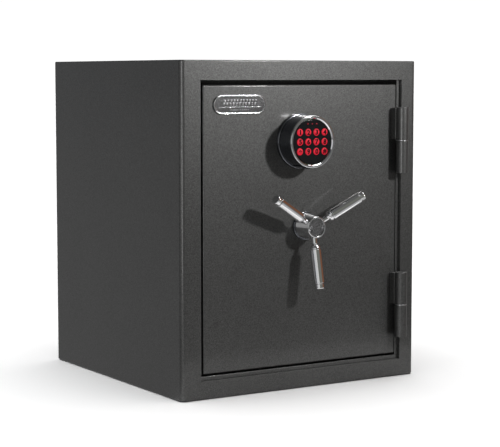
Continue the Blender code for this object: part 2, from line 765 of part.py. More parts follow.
def combination_lock(door_carrier, lock_carrier):
    centre_x = KEYPAD[0]
    body = block("lock_body", LOCK, LOCK_DEPTHS, 0.0020, 2)
    slot_half = LOCK_BOLT_HALF_WIDTH + 0.0003
    slot = (centre_x - slot_half, centre_x + slot_half, LOCK[2] - 0.01, LOCK[2] + LOCK_BOLT_LENGTH)
    slot_depths = (LOCK_BOLT_DEPTHS[0] - GAP, LOCK_BOLT_DEPTHS[1] + GAP)
    cut(body, block("lock_bolt_slot", slot, slot_depths))
    finish(body, "zinc", door_carrier)
    low = LOCK[2] - 0.0005
    rect = (centre_x - LOCK_BOLT_HALF_WIDTH, centre_x + LOCK_BOLT_HALF_WIDTH, low,
            low + LOCK_BOLT_LENGTH)
    finish(block("lock_bolt", rect, LOCK_BOLT_DEPTHS, 0.0008, 1), "steel", lock_carrier)


def lock_lead(door_carrier):
    """The lead that runs straight from the keypad's board, through the door, to the lock."""
    curve = bpy.data.curves.new("lock_lead", "CURVE")
    curve.dimensions = "3D"
    curve.bevel_depth = LEAD_RADIUS
    curve.bevel_resolution = 2
    curve.use_fill_caps = True
    spline = curve.splines.new("POLY")
    depths = [-0.0241 + (LOCK_DEPTHS[0] + 0.0241 - GAP) * step / 6 for step in range(7)]
    spline.points.add(len(depths) - 1)
    for point, depth in zip(spline.points, depths):
        point.co = (*at(lead_place(), depth), 1.0)
    drawn = add_object("lock_lead_route", curve, (0.0, 0.0, 0.0))
    finish(mesh_of(drawn, "lock_lead"), "lead_jacket", door_carrier)


# ---------------------------------------------------------------- keypad

def keypad_base(door_carrier):
    """The ring that is screwed to the door, with a passage for the lead."""
    rounding = corner((KEYPAD_BASE_RADIUS - 0.0020, -0.0005), 0.0020, 90, 0, 2)
    back = -DOOR_RECESS + GAP
    profile = [(0.0, 0.0015), *rounding, (KEYPAD_BASE_RADIUS, back), (0.0, back)]
    base = turned("keypad_base", profile, at(KEYPAD), steps=40)
    cut(base, disc("base_lead_hole", LEAD_RADIUS + 0.0015, -0.02, 0.02, at(lead_place()), steps=20))
    finish(base, "chrome", door_carrier)


def keypad_housing(door_carrier):
    low, high = 0.0018, 0.0300
    inner = KEYPAD_RADIUS - KEYPAD_WALL
    profile = [(inner, high), (KEYPAD_RADIUS - 0.0004, high), (KEYPAD_RADIUS, low + 0.010),
               (KEYPAD_RADIUS + 0.0004, low), (inner, low)]
    housing = turned("keypad_housing", profile, at(KEYPAD), steps=40, ring=True)
    side = DRAWER_HALF_WIDTH + 0.0004
    slot = (KEYPAD[0] - side, KEYPAD[0] + side, KEYPAD[1] - 0.06, KEYPAD[1] - 0.02)
    cut(housing, block("drawer_slot", slot, (-DRAWER_FRONT - 0.0004, -DRAWER_BACK + 0.0004)))
    finish(housing, "black_gloss", door_carrier)


def keypad_bezel(door_carrier):
    """A bright ring whose step sits inside the housing's rim."""
    outer = KEYPAD_RADIUS
    inner = FACE_RADIUS + GAP
    seat = KEYPAD_RADIUS - KEYPAD_WALL - GAP
    crown = corner((outer - 0.0022, BEZEL_FRONT - 0.0022), 0.0022, 100, 0, 3)
    profile = [(inner, FACE_FRONT + 0.0006), *crown, (outer, 0.0300 + GAP), (seat, 0.0300 + GAP),
               (seat, FACE_BACK), (inner, FACE_BACK)]
    bezel = turned("keypad_bezel", profile, at(KEYPAD), steps=40, ring=True)
    finish(bezel, "chrome", door_carrier)


def key_places():
    places = []
    for row in range(KEY_ROWS):
        for column in range(KEY_COLUMNS):
            x = KEYPAD[0] + (column - (KEY_COLUMNS - 1) / 2) * KEY_PITCH_X
            z = KEYPAD[1] - (row - (KEY_ROWS - 1) / 2) * KEY_PITCH_Z
            places.append((x, z))
    return places


def light_places():
    return [(KEYPAD[0] + offset * LIGHT_PITCH, KEYPAD[1] + LIGHT_RISE) for offset in (-1, 0, 1)]


def keypad_face(door_carrier):
    face = disc("keypad_face", FACE_RADIUS, FACE_BACK + 0.0003, FACE_FRONT, at(KEYPAD), steps=40)
    for index, place in enumerate(key_places()):
        cut(face, disc(f"key_hole_{index}", KEY_RADIUS + 0.0004, 0.0, 0.05, at(place), steps=16))
    for index, place in enumerate(light_places()):
        cut(face, disc(f"light_hole_{index}", 0.0013, 0.0, 0.05, at(place), steps=8))
    finish(face, "black_gloss", door_carrier)


def status_lights(door_carrier):
    """One clear bar behind the face, with a short post behind each of its three windows."""
    middle = light_places()[1]
    bar = block("status_lights", around(middle, 0.0100, 0.0018), (-FACE_BACK, -0.0272))
    for index, place in enumerate(light_places()):
        fuse(bar, disc(f"light_post_{index}", 0.0010, 0.0280, FACE_FRONT + 0.0001, at(place), steps=8))
    finish(bar, "red_key", door_carrier)


def keypad_board(door_carrier):
    board = disc("keypad_board", 0.0365, 0.0244, 0.0260, at(KEYPAD), steps=24)
    finish(board, "circuit_board", door_carrier)


def key_profile():
    """A domed key, kept in by a flange behind the face."""
    return [(0.0, 0.0324), (0.0046, 0.0322), (KEY_RADIUS - 0.0004, 0.0318), (KEY_RADIUS, 0.0312),
            (KEY_RADIUS, 0.0286), (KEY_FLANGE_RADIUS, 0.0286), (KEY_FLANGE_RADIUS, 0.0278),
            (0.0, 0.0278)]


def keys(door_carrier):
    names = ("1", "2", "3", "4", "5", "6", "7", "8", "star", "9", "0", "hash")
    for name, place in zip(names, key_places()):
        finish(turned("key_" + name, key_profile(), at(place), steps=16), "red_key", door_carrier)


def battery_drawer(drawer_carrier):
    """A tray with a curved end that closes the slot in the underside of the keypad."""
    x, z = KEYPAD
    low = z - 0.0460
    depths = (-DRAWER_FRONT, -DRAWER_BACK)
    sides = (x - DRAWER_HALF_WIDTH, x + DRAWER_HALF_WIDTH)
    tray = block("battery_drawer", (*sides, low, z + DRAWER_TOP), depths)
    cover_half = DRAWER_HALF_WIDTH + 0.0020
    end = block("drawer_end", (x - cover_half, x + cover_half, low, z - 0.0300),
                (-DRAWER_FRONT - 0.0010, -DRAWER_BACK))
    cut(end, disc("drawer_end_inside", KEYPAD_RADIUS + 0.0007, -0.02, 0.05, at(KEYPAD), steps=40))
    fuse(tray, end)
    keep = disc("drawer_outline", KEYPAD_RADIUS + 0.0019, -0.02, 0.05, at(KEYPAD), steps=40)
    combine(tray, keep, "INTERSECT")
    room_half = DRAWER_HALF_WIDTH - DRAWER_WALL
    room = (x - room_half, x + room_half, z - 0.0378, z + DRAWER_TOP + 0.01)
    cut(tray, block("battery_room", room, (-DRAWER_FRONT + DRAWER_WALL, -DRAWER_BACK - DRAWER_WALL)))
    finish(tray, "black_gloss", drawer_carrier)


def battery(drawer_carrier):
    width, thickness, length = BATTERY_SIZE
    x, z = KEYPAD
    low = z - 0.0374
    middle = (DRAWER_FRONT + DRAWER_BACK) / 2
    rect = (x - width / 2, x + width / 2, low, low + length)
    cell = block("battery", rect, (-middle - thickness / 2, -middle + thickness / 2), 0.0010, 1)
    for index, offset in enumerate((-0.0064, 0.0064)):
        place = at((x + offset, low + length), -middle)
        fuse(cell, disc(f"battery_terminal_{index}", 0.0032, -0.001, 0.0020, place, UPRIGHT, steps=12))
    finish(cell, "battery_jacket", drawer_carrier)


def name_plate(door_carrier):
    """A long plate with round ends. Its outline is drawn upright and laid on its side."""
    reach = PLATE_HALF_LENGTH - PLATE_HALF_HEIGHT
    outline = link_outline(2 * reach, PLATE_HALF_HEIGHT, PLATE_HALF_HEIGHT)
    middle = DOOR_RECESS - GAP - PLATE_THICKNESS / 2
    lower_end = (PLATE_CENTRE[0] - reach, PLATE_CENTRE[1])
    turn = (math.radians(90), math.radians(90), 0.0)
    plate = flat_plate("name_plate", outline, PLATE_THICKNESS, at(lower_end, middle), turn)
    round_edges(plate, 0.0006, 1)
    finish(plate, "plate_silver", door_carrier)


# ---------------------------------------------------------------- assembly

def build_body():
    body_shell()
    back_panel()
    door_frame()
    door_seal()
    inner_liner()
    fire_fill()
    floor_mat()
    anchor_plug()
    shelf_and_rails()


def build_door(door):
    door_slab(door)
    boltwork_housing(door)
    dead_bolts(door)
    handle_rose(door)
    shaft_bush(door)
    lock_lead(door)
    keypad_base(door)
    keypad_housing(door)
    keypad_bezel(door)
    keypad_face(door)
    status_lights(door)
    keypad_board(door)
    keys(door)
    name_plate(door)


def build_handle(handle):
    handle_hub(handle)
    spokes(handle)
    handle_shaft(handle)
    crank(handle)
    shaft_nut(handle)


def build():
    build_body()
    door = carrier("door_axis", (HINGE_X, FACE_Y + HINGE_DEPTH, 0.0))
    for side, base in HINGE_BASES.items():
        hinge(side, base, door)
    build_door(door)
    boltwork(carrier("boltwork_axis", at((CARRIAGE_BAR[0], HANDLE[1]), BOLT_DEPTH), door))
    build_handle(carrier("handle_axis", at(HANDLE), door))
    combination_lock(door, carrier("lock_bolt_axis", at((KEYPAD[0], LOCK[2]), 0.046), door))
    drawer = carrier("drawer_axis", at(KEYPAD, -0.012), door)
    battery_drawer(drawer)
    battery(drawer)


build()
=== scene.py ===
"""The safe's looks: fine meshes for what shows, procedural materials, and a pale studio."""

import json
import math

import bmesh
import bpy
from mathutils import Matrix, Vector

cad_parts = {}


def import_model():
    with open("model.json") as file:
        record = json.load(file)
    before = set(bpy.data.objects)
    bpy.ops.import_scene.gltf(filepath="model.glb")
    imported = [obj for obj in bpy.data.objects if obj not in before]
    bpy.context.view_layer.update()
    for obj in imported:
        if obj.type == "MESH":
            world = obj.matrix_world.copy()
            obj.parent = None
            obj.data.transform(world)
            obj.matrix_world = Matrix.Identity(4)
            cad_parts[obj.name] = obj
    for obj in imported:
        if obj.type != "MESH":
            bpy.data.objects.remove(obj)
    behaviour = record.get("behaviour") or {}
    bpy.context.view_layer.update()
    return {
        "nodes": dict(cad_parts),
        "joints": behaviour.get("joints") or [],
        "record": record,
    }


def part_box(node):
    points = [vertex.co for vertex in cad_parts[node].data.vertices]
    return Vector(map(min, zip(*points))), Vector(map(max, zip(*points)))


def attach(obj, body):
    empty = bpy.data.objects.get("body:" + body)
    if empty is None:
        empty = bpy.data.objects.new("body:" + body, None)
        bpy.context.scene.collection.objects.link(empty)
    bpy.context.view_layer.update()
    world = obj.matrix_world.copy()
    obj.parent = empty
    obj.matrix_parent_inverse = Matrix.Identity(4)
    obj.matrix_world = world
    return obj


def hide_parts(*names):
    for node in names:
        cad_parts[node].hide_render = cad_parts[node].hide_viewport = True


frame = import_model()

MM = 0.001
ROUND_STEPS = 96
OUTWARD = Matrix.Rotation(math.radians(90), 4, "X")
UPRIGHT = Matrix.Identity(4)


# ---- materials

def feed(tree, value, socket):
    """Links a socket to another node's output, or sets it to a plain value."""
    if isinstance(value, bpy.types.NodeSocket):
        tree.links.new(value, socket)
    else:
        socket.default_value = value


def add_node(tree, kind, inputs=None, **settings):
    node = tree.nodes.new(kind)
    for key, value in settings.items():
        setattr(node, key, value)
    for key, value in (inputs or {}).items():
        feed(tree, value, node.inputs[key])
    return node


class Look:
    """One material, with short ways to add the nodes that vary its surface."""

    def __init__(self, name, colour, roughness, metallic=0.0, **sockets):
        self.material = bpy.data.materials.new(name)
        self.material.use_nodes = True
        self.tree = self.material.node_tree
        self.shader = self.tree.nodes["Principled BSDF"]
        self.paint((*colour, 1.0))
        self.dull(roughness)
        self.feed(metallic, "Metallic")
        for socket, value in sockets.items():
            self.feed(value, socket.replace("_", " "))
        self.place = self.add("ShaderNodeTexCoord").outputs["Object"]
        self.relief = None

    def add(self, kind, inputs=None, **settings):
        return add_node(self.tree, kind, inputs, **settings)

    def feed(self, value, name):
        """Links or sets one of the shader's own sockets."""
        feed(self.tree, value, self.shader.inputs[name])

    def stretched(self, scale):
        return self.add("ShaderNodeMapping", {"Vector": self.place, "Scale": scale}).outputs["Vector"]

    def noise(self, grain, detail=2.0, place=None, distortion=0.0):
        """Smooth random values around a half, with lumps about as wide as grain, in metres."""
        node = self.add("ShaderNodeTexNoise", {
            "Vector": place or self.place, "Scale": 1 / grain, "Detail": detail, "Roughness": 0.6,
            "Distortion": distortion})
        return node.outputs["Fac"]

    def cells(self, size, output="Color", feature="F1"):
        """Cells about as wide as size: a random colour in each, or the distance to its middle or edge."""
        node = self.add("ShaderNodeTexVoronoi", {"Vector": self.place, "Scale": 1 / size}, feature=feature)
        return node.outputs[output]

    def spread(self, value, low, high, start=0.25, end=0.75):
        node = self.add("ShaderNodeMapRange", {
            "Value": value, "From Min": start, "From Max": end, "To Min": low, "To Max": high})
        return node.outputs["Result"]

    def varied(self, grain, detail, low, high):
        """Smooth random values mostly between low and high."""
        return self.spread(self.noise(grain, detail), low, high)

    def maths(self, operation, first, second):
        return self.add("ShaderNodeMath", {0: first, 1: second}, operation=operation).outputs[0]

    def product(self, first, *others):
        for other in others:
            first = self.maths("MULTIPLY", first, other)
        return first

    def mix(self, share, first, second):
        """A number between two others."""
        return self.add("ShaderNodeMix", {0: share, 2: first, 3: second}).outputs[0]

    def blend(self, share, first, second, mode="MIX"):
        """A colour between two others."""
        node = self.add("ShaderNodeMix", {0: share, 6: first, 7: second}, data_type="RGBA", blend_type=mode)
        return node.outputs[2]

    def shade(self, value):
        """Multiplies the colour by a value around one."""
        grey = self.add("ShaderNodeCombineColor", {"Red": value, "Green": value, "Blue": value})
        self.paint(self.blend(1.0, self.colour, grey.outputs["Color"], "MULTIPLY"))

    def paint(self, colour):
        self.colour = colour
        self.feed(colour, "Base Color")

    def dull(self, value):
        self.roughness = value
        self.feed(value, "Roughness")

    def raise_by(self, value, height):
        """Adds relief of the given height, in metres, on top of the relief there is."""
        below = {"Normal": self.relief} if self.relief else {}
        bump = self.add("ShaderNodeBump", {"Height": value, "Distance": height, **below})
        self.relief = bump.outputs["Normal"]
        self.feed(self.relief, "Normal")

    def dust(self, roughness):
        """A dull film that hides the metal and the coat on the faces that look straight up."""
        normal = self.add("ShaderNodeNewGeometry").outputs["Normal"]
        up = self.add("ShaderNodeSeparateXYZ", {"Vector": normal}).outputs["Z"]
        film = self.spread(up, 0.0, 1.0, 0.90, 0.99)
        uneven = self.varied(0.04, 4.0, roughness - 0.08, roughness)
        self.dull(self.mix(film, self.roughness, uneven))
        for name in ("Metallic", "Coat Weight"):
            self.feed(self.mix(film, self.shader.inputs[name].default_value, 0.0), name)

    def mottle(self, *variation):
        self.shade(self.varied(*variation))

    def gloss(self, *variation):
        self.dull(self.varied(*variation))

    def bumps(self, grain, detail, height):
        self.raise_by(self.noise(grain, detail), height)

    def edges(self, reach):
        """One on worn edges, which on the body paint also carry a painted highlight, and near zero on flat
        stretches.
        """
        softened = self.add("ShaderNodeBevel", {"Radius": reach}, samples=6).outputs["Normal"]
        plain = self.add("ShaderNodeNewGeometry").outputs["Normal"]
        dot = self.add("ShaderNodeVectorMath", {0: softened, 1: plain}, operation="DOT_PRODUCT")
        turn = self.spread(dot.outputs["Value"], 1.0, 0.0, 0.80, 0.99)
        patches = self.spread(self.noise(0.004, 4.0), 0.0, 1.0, 0.42, 0.62)
        return self.product(turn, patches)

    def wear_and_highlight(self, reach, strength, colour, roughness):
        """Rubbed edges in another colour and roughness. On the body paint the lighter edges are also a
        painted highlight.
        """
        mask = self.product(self.edges(reach), strength)
        self.paint(self.blend(mask, self.colour, (*colour, 1.0)))
        self.dull(self.mix(mask, self.roughness, roughness))


def body_paint():
    """Charcoal powder coat with fine metallic flakes and a slight orange peel."""
    look = Look("body_paint", (0.058, 0.058, 0.057), 0.46, 0.80, Coat_Weight=0.35, Coat_Roughness=0.12)
    flakes = look.spread(look.cells(0.0009), 0.55, 1.60, 0.0, 1.0)
    grain = look.varied(0.0030, 3.0, 0.86, 1.14)
    clouds = look.varied(0.11, 2.0, 0.96, 1.04)
    look.shade(look.product(flakes, grain, clouds))
    look.gloss(0.0012, 3.0, 0.41, 0.51)
    look.dust(0.90)
    look.bumps(0.0028, 2.0, 0.00004)
    look.bumps(0.0007, 1.0, 0.00002)
    # Lighter rubbed edges: part wear, part a painted highlight along the paint's edges.
    look.wear_and_highlight(0.0010, 0.30, (0.16, 0.16, 0.16), 0.32)
    return look


def liner_paint():
    """Satin grey paint with a fine texture, rubbed a little along its edges."""
    look = Look("liner_paint", (0.150, 0.151, 0.152), 0.55, 0.0)
    look.shade(look.product(look.varied(0.0012, 3.0, 0.88, 1.12), look.varied(0.06, 2.0, 0.95, 1.05)))
    look.gloss(0.004, 3.0, 0.48, 0.62)
    look.bumps(0.0013, 2.0, 0.00006)
    look.wear_and_highlight(0.0008, 0.35, (0.30, 0.30, 0.30), 0.42)
    return look


def fire_board():
    look = Look("fire_board", (0.42, 0.41, 0.38), 0.92)
    stones = look.spread(look.cells(0.004), 0.78, 1.16, 0.0, 1.0)
    look.shade(look.product(stones, look.varied(0.02, 4.0, 0.90, 1.08)))
    look.gloss(0.003, 2.0, 0.86, 0.97)
    look.bumps(0.003, 4.0, 0.0004)
    look.raise_by(look.cells(0.006, "Distance"), 0.0003)
    return look


def seal_rubber():
    look = Look("seal_rubber", (0.022, 0.022, 0.023), 0.70)
    look.mottle(0.003, 3.0, 0.80, 1.25)
    look.gloss(0.006, 3.0, 0.62, 0.80)
    look.bumps(0.0006, 2.0, 0.00005)
    look.wear_and_highlight(0.0008, 0.4, (0.07, 0.07, 0.07), 0.85)
    return look


def mat_felt():
    """Short needled pile: fibres of slightly different greys lying in all directions."""
    look = Look("mat_felt", (0.040, 0.040, 0.044), 0.95, Sheen_Weight=0.35, Sheen_Roughness=0.5)
    across = look.noise(0.0011, 4.0, look.stretched((1.0, 0.22, 1.0)), 0.8)
    along = look.noise(0.0011, 4.0, look.stretched((0.22, 1.0, 1.0)), 0.8)
    fibres = look.maths("ADD", across, along)
    look.shade(look.spread(fibres, 0.45, 1.75, 0.75, 1.25))
    look.gloss(0.01, 2.0, 0.88, 0.98)
    look.raise_by(fibres, 0.0007)
    return look


def chrome():
    """Polished plating with faint wiping marks."""
    look = Look("chrome", (0.80, 0.80, 0.81), 0.06, 1.0)
    look.mottle(0.012, 3.0, 0.97, 1.03)
    wiped = look.noise(0.006, 4.0, look.stretched((1.0, 1.0, 0.25)), 0.5)
    look.dull(look.spread(wiped, 0.035, 0.095))
    look.bumps(0.004, 1.0, 0.000004)
    look.wear_and_highlight(0.0005, 0.25, (0.62, 0.60, 0.58), 0.22)
    return look


def painted_shade_chrome():
    """Plating painted dark on the parts that lie against the door, a painted shade for the dim room and door
    that they reflect.
    """
    look = Look("painted_shade_chrome", (0.16, 0.165, 0.18), 0.10, 1.0)
    look.mottle(0.009, 3.0, 0.85, 1.12)
    look.gloss(0.005, 4.0, 0.07, 0.16)
    look.bumps(0.004, 1.0, 0.000004)
    look.wear_and_highlight(0.0005, 0.25, (0.40, 0.40, 0.40), 0.22)
    return look


def ribbed_chrome():
    """The darker satin plating of the hub's cap."""
    look = Look("ribbed_chrome", (0.15, 0.15, 0.153), 0.16, 1.0)
    look.mottle(0.0016, 3.0, 0.75, 1.25)
    look.gloss(0.001, 3.0, 0.12, 0.20)
    look.raise_by(look.noise(0.0005, 2.0, look.stretched((0.2, 1.0, 1.0))), 0.00001)
    return look


def steel():
    look = Look("steel", (0.42, 0.42, 0.43), 0.34, 1.0)
    marks = look.noise(0.0009, 3.0, look.stretched((0.15, 0.15, 1.0)))
    look.shade(look.spread(marks, 0.86, 1.12))
    look.gloss(0.003, 4.0, 0.26, 0.44)
    look.raise_by(marks, 0.00002)
    look.wear_and_highlight(0.0006, 0.5, (0.62, 0.62, 0.62), 0.25)
    return look


def bolt_chrome():
    """Ground and plated bar, with marks round its length and light scuffs."""
    look = Look("bolt_chrome", (0.66, 0.66, 0.67), 0.18, 1.0)
    marks = look.noise(0.0008, 3.0, look.stretched((1.0, 0.08, 0.08)))
    look.shade(look.spread(marks, 0.92, 1.06))
    look.gloss(0.004, 4.0, 0.12, 0.28)
    look.raise_by(marks, 0.00001)
    look.wear_and_highlight(0.0008, 0.5, (0.40, 0.39, 0.38), 0.35)
    return look


def zinc():
    """Passivated zinc with its faint crystal spangle and a warm bloom."""
    look = Look("zinc", (0.50, 0.50, 0.47), 0.42, 1.0)
    spangle = look.spread(look.cells(0.006), 0.86, 1.12, 0.0, 1.0)
    look.shade(look.product(spangle, look.varied(0.03, 4.0, 0.90, 1.08)))
    look.gloss(0.004, 4.0, 0.32, 0.52)
    look.bumps(0.0015, 3.0, 0.00003)
    look.wear_and_highlight(0.0006, 0.5, (0.66, 0.66, 0.64), 0.28)
    return look


def bronze():
    look = Look("bronze", (0.46, 0.31, 0.15), 0.38, 1.0)
    marks = look.noise(0.0007, 3.0, look.stretched((0.15, 1.0, 0.15)))
    look.shade(look.spread(marks, 0.80, 1.15))
    look.gloss(0.003, 3.0, 0.30, 0.48)
    look.raise_by(marks, 0.00003)
    return look


def black_gloss():
    """Moulded plastic with a dark metallic lacquer, smooth but not quite flat."""
    look = Look("black_gloss", (0.050, 0.055, 0.066), 0.20, 0.60, Coat_Weight=0.6, Coat_Roughness=0.06)
    look.mottle(0.0009, 2.0, 0.82, 1.2)
    look.gloss(0.007, 4.0, 0.12, 0.24)
    look.bumps(0.003, 2.0, 0.00001)
    look.wear_and_highlight(0.0005, 0.25, (0.09, 0.09, 0.10), 0.35)
    return look


def face_gloss():
    """The smooth dark window that the keys stand in."""
    look = Look("face_gloss", (0.006, 0.006, 0.007), 0.10, Specular_IOR_Level=0.35)
    look.mottle(0.002, 2.0, 0.8, 1.25)
    look.gloss(0.009, 4.0, 0.08, 0.20)
    look.bumps(0.004, 2.0, 0.000008)
    return look


def lit_red(name, strength):
    """Red moulding lit from behind, a little uneven, as its lamp is off its centre."""
    look = Look(name, (0.34, 0.005, 0.016), 0.50, Specular_IOR_Level=0.25)
    look.mottle(0.003, 2.0, 0.85, 1.12)
    look.gloss(0.001, 3.0, 0.42, 0.58)
    look.bumps(0.0007, 2.0, 0.00002)
    look.feed((1.0, 0.006, 0.035, 1.0), "Emission Color")
    look.feed(look.varied(0.008, 1.0, 0.70 * strength, 1.30 * strength), "Emission Strength")
    return look


def digit_ink():
    look = Look("digit_ink", (0.010, 0.003, 0.004), 0.80, Specular_IOR_Level=0.05)
    look.mottle(0.001, 2.0, 0.7, 1.4)
    look.gloss(0.0008, 2.0, 0.72, 0.88)
    return look


def circuit_board():
    look = Look("circuit_board", (0.02, 0.14, 0.06), 0.38)
    tracks = look.spread(look.cells(0.0025, "Distance", feature="DISTANCE_TO_EDGE"), 0.0, 1.0, 0.06, 0.10)
    look.paint(look.blend(tracks, (0.05, 0.24, 0.10, 1.0), look.colour))
    look.gloss(0.002, 3.0, 0.30, 0.46)
    look.raise_by(tracks, 0.00003)
    return look


def battery_jacket():
    """A dark printed sleeve with a copper-coloured band and no lettering."""
    look = Look("battery_jacket", (0.030, 0.030, 0.034), 0.34, Coat_Weight=0.3)
    height = look.add("ShaderNodeSeparateXYZ", {"Vector": look.place}).outputs["Z"]
    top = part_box("battery")[1].z
    band = look.spread(height, 0.0, 1.0, top - 17.2 * MM, top - 17.0 * MM)
    look.paint(look.blend(band, look.colour, (0.46, 0.20, 0.07, 1.0)))
    look.mottle(0.002, 3.0, 0.88, 1.10)
    look.gloss(0.004, 3.0, 0.26, 0.44)
    look.bumps(0.006, 2.0, 0.00003)
    return look


def lead_jacket():
    look = Look("lead_jacket", (0.025, 0.025, 0.026), 0.5)
    look.mottle(0.001, 3.0, 0.8, 1.2)
    look.gloss(0.002, 3.0, 0.42, 0.60)
    look.bumps(0.0006, 2.0, 0.00003)
    return look


def plate_silver(name, grey):
    """The badge's metal: dark silver with a bead-blasted grain."""
    look = Look(name, (grey, grey, grey * 1.02), 0.18, 1.0)
    look.shade(look.spread(look.cells(0.0009), 0.45, 1.5, 0.0, 1.0))
    look.gloss(0.001, 3.0, 0.14, 0.24)
    look.raise_by(look.cells(0.0012, "Distance"), 0.00010)
    look.bumps(0.0006, 3.0, 0.00002)
    return look


MAKERS = (body_paint, liner_paint, fire_board, seal_rubber, mat_felt, chrome, painted_shade_chrome, ribbed_chrome,
          bolt_chrome, steel, zinc, bronze, black_gloss, face_gloss, digit_ink, circuit_board,
          battery_jacket, lead_jacket)
LOOKS = {make.__name__: make().material for make in MAKERS}
for name, strength in (("red_key", 0.30), ("dim_red", 0.02)):
    LOOKS[name] = lit_red(name, strength).material
for name, grey in (("plate_silver", 0.20), ("plate_raised", 0.42)):
    LOOKS[name] = plate_silver(name, grey).material
SHINY = [LOOKS[name] for name in ("chrome", "painted_shade_chrome", "ribbed_chrome", "black_gloss", "face_gloss",
                                  "plate_silver", "plate_raised")]
NODE_SLOTS = {row["node"]: row["material_slot"] for row in frame["record"]["subparts"]}
BODIES = frame["record"]["behaviour"]["bodies"]
NODE_BODIES = {node: body for body, nodes in BODIES.items() for node in nodes}


# ---- making meshes

def add_object(name, data):
    thing = bpy.data.objects.new(name, data)
    bpy.context.scene.collection.objects.link(thing)
    return thing


def from_shape(name, shape):
    bmesh.ops.recalc_face_normals(shape, faces=shape.faces)
    mesh = bpy.data.meshes.new(name)
    shape.to_mesh(mesh)
    shape.free()
    return add_object(name, mesh)


def cube_shape(low, high):
    """A box between two corners, open to more changes."""
    shape = bmesh.new()
    bmesh.ops.create_cube(shape, size=1.0)
    bmesh.ops.scale(shape, vec=Vector(high) - Vector(low), verts=shape.verts)
    bmesh.ops.translate(shape, vec=(Vector(high) + Vector(low)) / 2, verts=shape.verts)
    return shape


def bend(shape, edges, width, steps):
    bmesh.ops.bevel(shape, geom=edges, offset=width, segments=steps, profile=0.5, affect="EDGES")


def block(name, low, high, bevel=0.0, steps=3):
    """A box between two corners, with its edges rounded."""
    shape = cube_shape(low, high)
    if bevel:
        bend(shape, shape.edges[:], bevel, steps)
    return from_shape(name, shape)


def filleted(points, steps=5):
    """Rounds the corners of a profile. A point is (radius, height) or (radius, height, fillet)."""
    result = []
    for index, point in enumerate(points):
        here = Vector(point[:2])
        fillet = point[2] if len(point) > 2 else 0.0
        if not fillet or index in (0, len(points) - 1):
            result.append(here)
            continue
        before = Vector(points[index - 1][:2]) - here
        after = Vector(points[index + 1][:2]) - here
        half = before.angle(after) / 2
        reach = min(fillet / math.tan(half), before.length * 0.48, after.length * 0.48)
        start = here + before.normalized() * reach
        end = here + after.normalized() * reach
        for step in range(steps + 1):
            share = step / steps
            first = start.lerp(here, share)
            last = here.lerp(end, share)
            result.append(first.lerp(last, share))
    return result


def turned(name, points, centre, turn=OUTWARD, steps=ROUND_STEPS, ring=False):
    """Turns a profile about local Z. It runs from the front to the back, down its outer side."""
    profile = filleted(points)
    place = Matrix.Translation(centre) @ turn
    shape = bmesh.new()
    rings = []
    for radius, height in profile:
        if radius < 1e-7:
            rings.append([shape.verts.new(place @ Vector((0.0, 0.0, height)))])
            continue
        angles = [2 * math.pi * step / steps for step in range(steps)]
        rings.append([shape.verts.new(place @ Vector((radius * math.cos(a), radius * math.sin(a), height)))
                      for a in angles])
    pairs = list(zip(rings, rings[1:]))
    if ring:
        pairs.append((rings[-1], rings[0]))
    for upper, lower in pairs:
        join_rings(shape, upper, lower, steps)
    return from_shape(name, shape)


def join_rings(shape, upper, lower, steps):
    for step in range(steps):
        following = (step + 1) % steps
        corners = [upper[step % len(upper)], lower[step % len(lower)], lower[following % len(lower)],
                   upper[following % len(upper)]]
        shape.faces.new(list(dict.fromkeys(corners)))


def rod(name, centre, radius, high, low, turn=OUTWARD, steps=64):
    """A plain cylinder to cut with."""
    return turned(name, [(0.0, high), (radius, high), (radius, low), (0.0, low)], centre, turn, steps)


def evaluated_mesh(piece):
    """The mesh that a piece's modifiers or its lettering make."""
    bpy.context.view_layer.update()
    graph = bpy.context.evaluated_depsgraph_get()
    return bpy.data.meshes.new_from_object(piece.evaluated_get(graph))


def settle(piece):
    """Applies a piece's modifiers and frees the pieces that they used."""
    tools = [m.object for m in piece.modifiers if m.type == "BOOLEAN"]
    mesh = evaluated_mesh(piece)
    piece.modifiers.clear()
    piece.data = mesh
    for tool in tools:
        bpy.data.objects.remove(tool, do_unlink=True)
    return piece


def combine(piece, tools, operation):
    for tool in tools:
        modifier = piece.modifiers.new(tool.name, "BOOLEAN")
        modifier.object = tool
        modifier.operation = operation
        modifier.solver = "EXACT"
    return settle(piece)


def cut(piece, *tools):
    return combine(piece, tools, "DIFFERENCE")


def fuse(piece, *tools):
    return combine(piece, tools, "UNION")


def soften(piece, width, steps, sharpest):
    """Rounds the edges that are sharper than the given angle, in degrees."""
    bevel = piece.modifiers.new("soft_edges", "BEVEL")
    bevel.width = width
    bevel.segments = steps
    bevel.limit_method = "ANGLE"
    bevel.angle_limit = math.radians(sharpest)


def set_look(piece, name):
    piece.data.materials.clear()
    piece.data.materials.append(LOOKS[name])


def smooth(piece, weight):
    """Smooth shading whose normals lean to the larger faces, so that flat faces stay flat."""
    for face in piece.data.polygons:
        face.use_smooth = True
    normals = piece.modifiers.new("face_normals", "WEIGHTED_NORMAL")
    normals.keep_sharp = True
    normals.weight = weight


def dress(piece, node, look=None, replaced=None):
    """Gives a new piece its material, slot and body, and lets it stand for its CAD nodes."""
    set_look(piece, look or NODE_SLOTS[node])
    smooth(piece, 60)
    piece.data.set_sharp_from_angle(angle=math.radians(32))
    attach(piece, NODE_BODIES[node])
    names = (node,) if replaced is None else replaced
    if names:
        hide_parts(*names)


def spot(node):
    """The middle of the back, the radius and the depth of a CAD node that is turned about Y."""
    low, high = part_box(node)
    centre = Vector(((low.x + high.x) / 2, high.y, (low.z + high.z) / 2))
    return centre, (high.x - low.x) / 2, high.y - low.y


# ---- body

SHEET = 2.5 * MM
FRONT_BEND = 7.4 * MM
EDGE_BEND = 2.0 * MM
# Points within TOUCH are level. A cutting tool reaches BEYOND what it cuts.
TOUCH = 0.001 * MM
BEYOND = 10.0 * MM


def opening_corners():
    """The door opening's corners, just inside the frame that lines it."""
    low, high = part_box("door_frame")
    wall = 3.0 * MM
    return (low.x + wall, high.x - wall), (low.z + wall, high.z - wall)


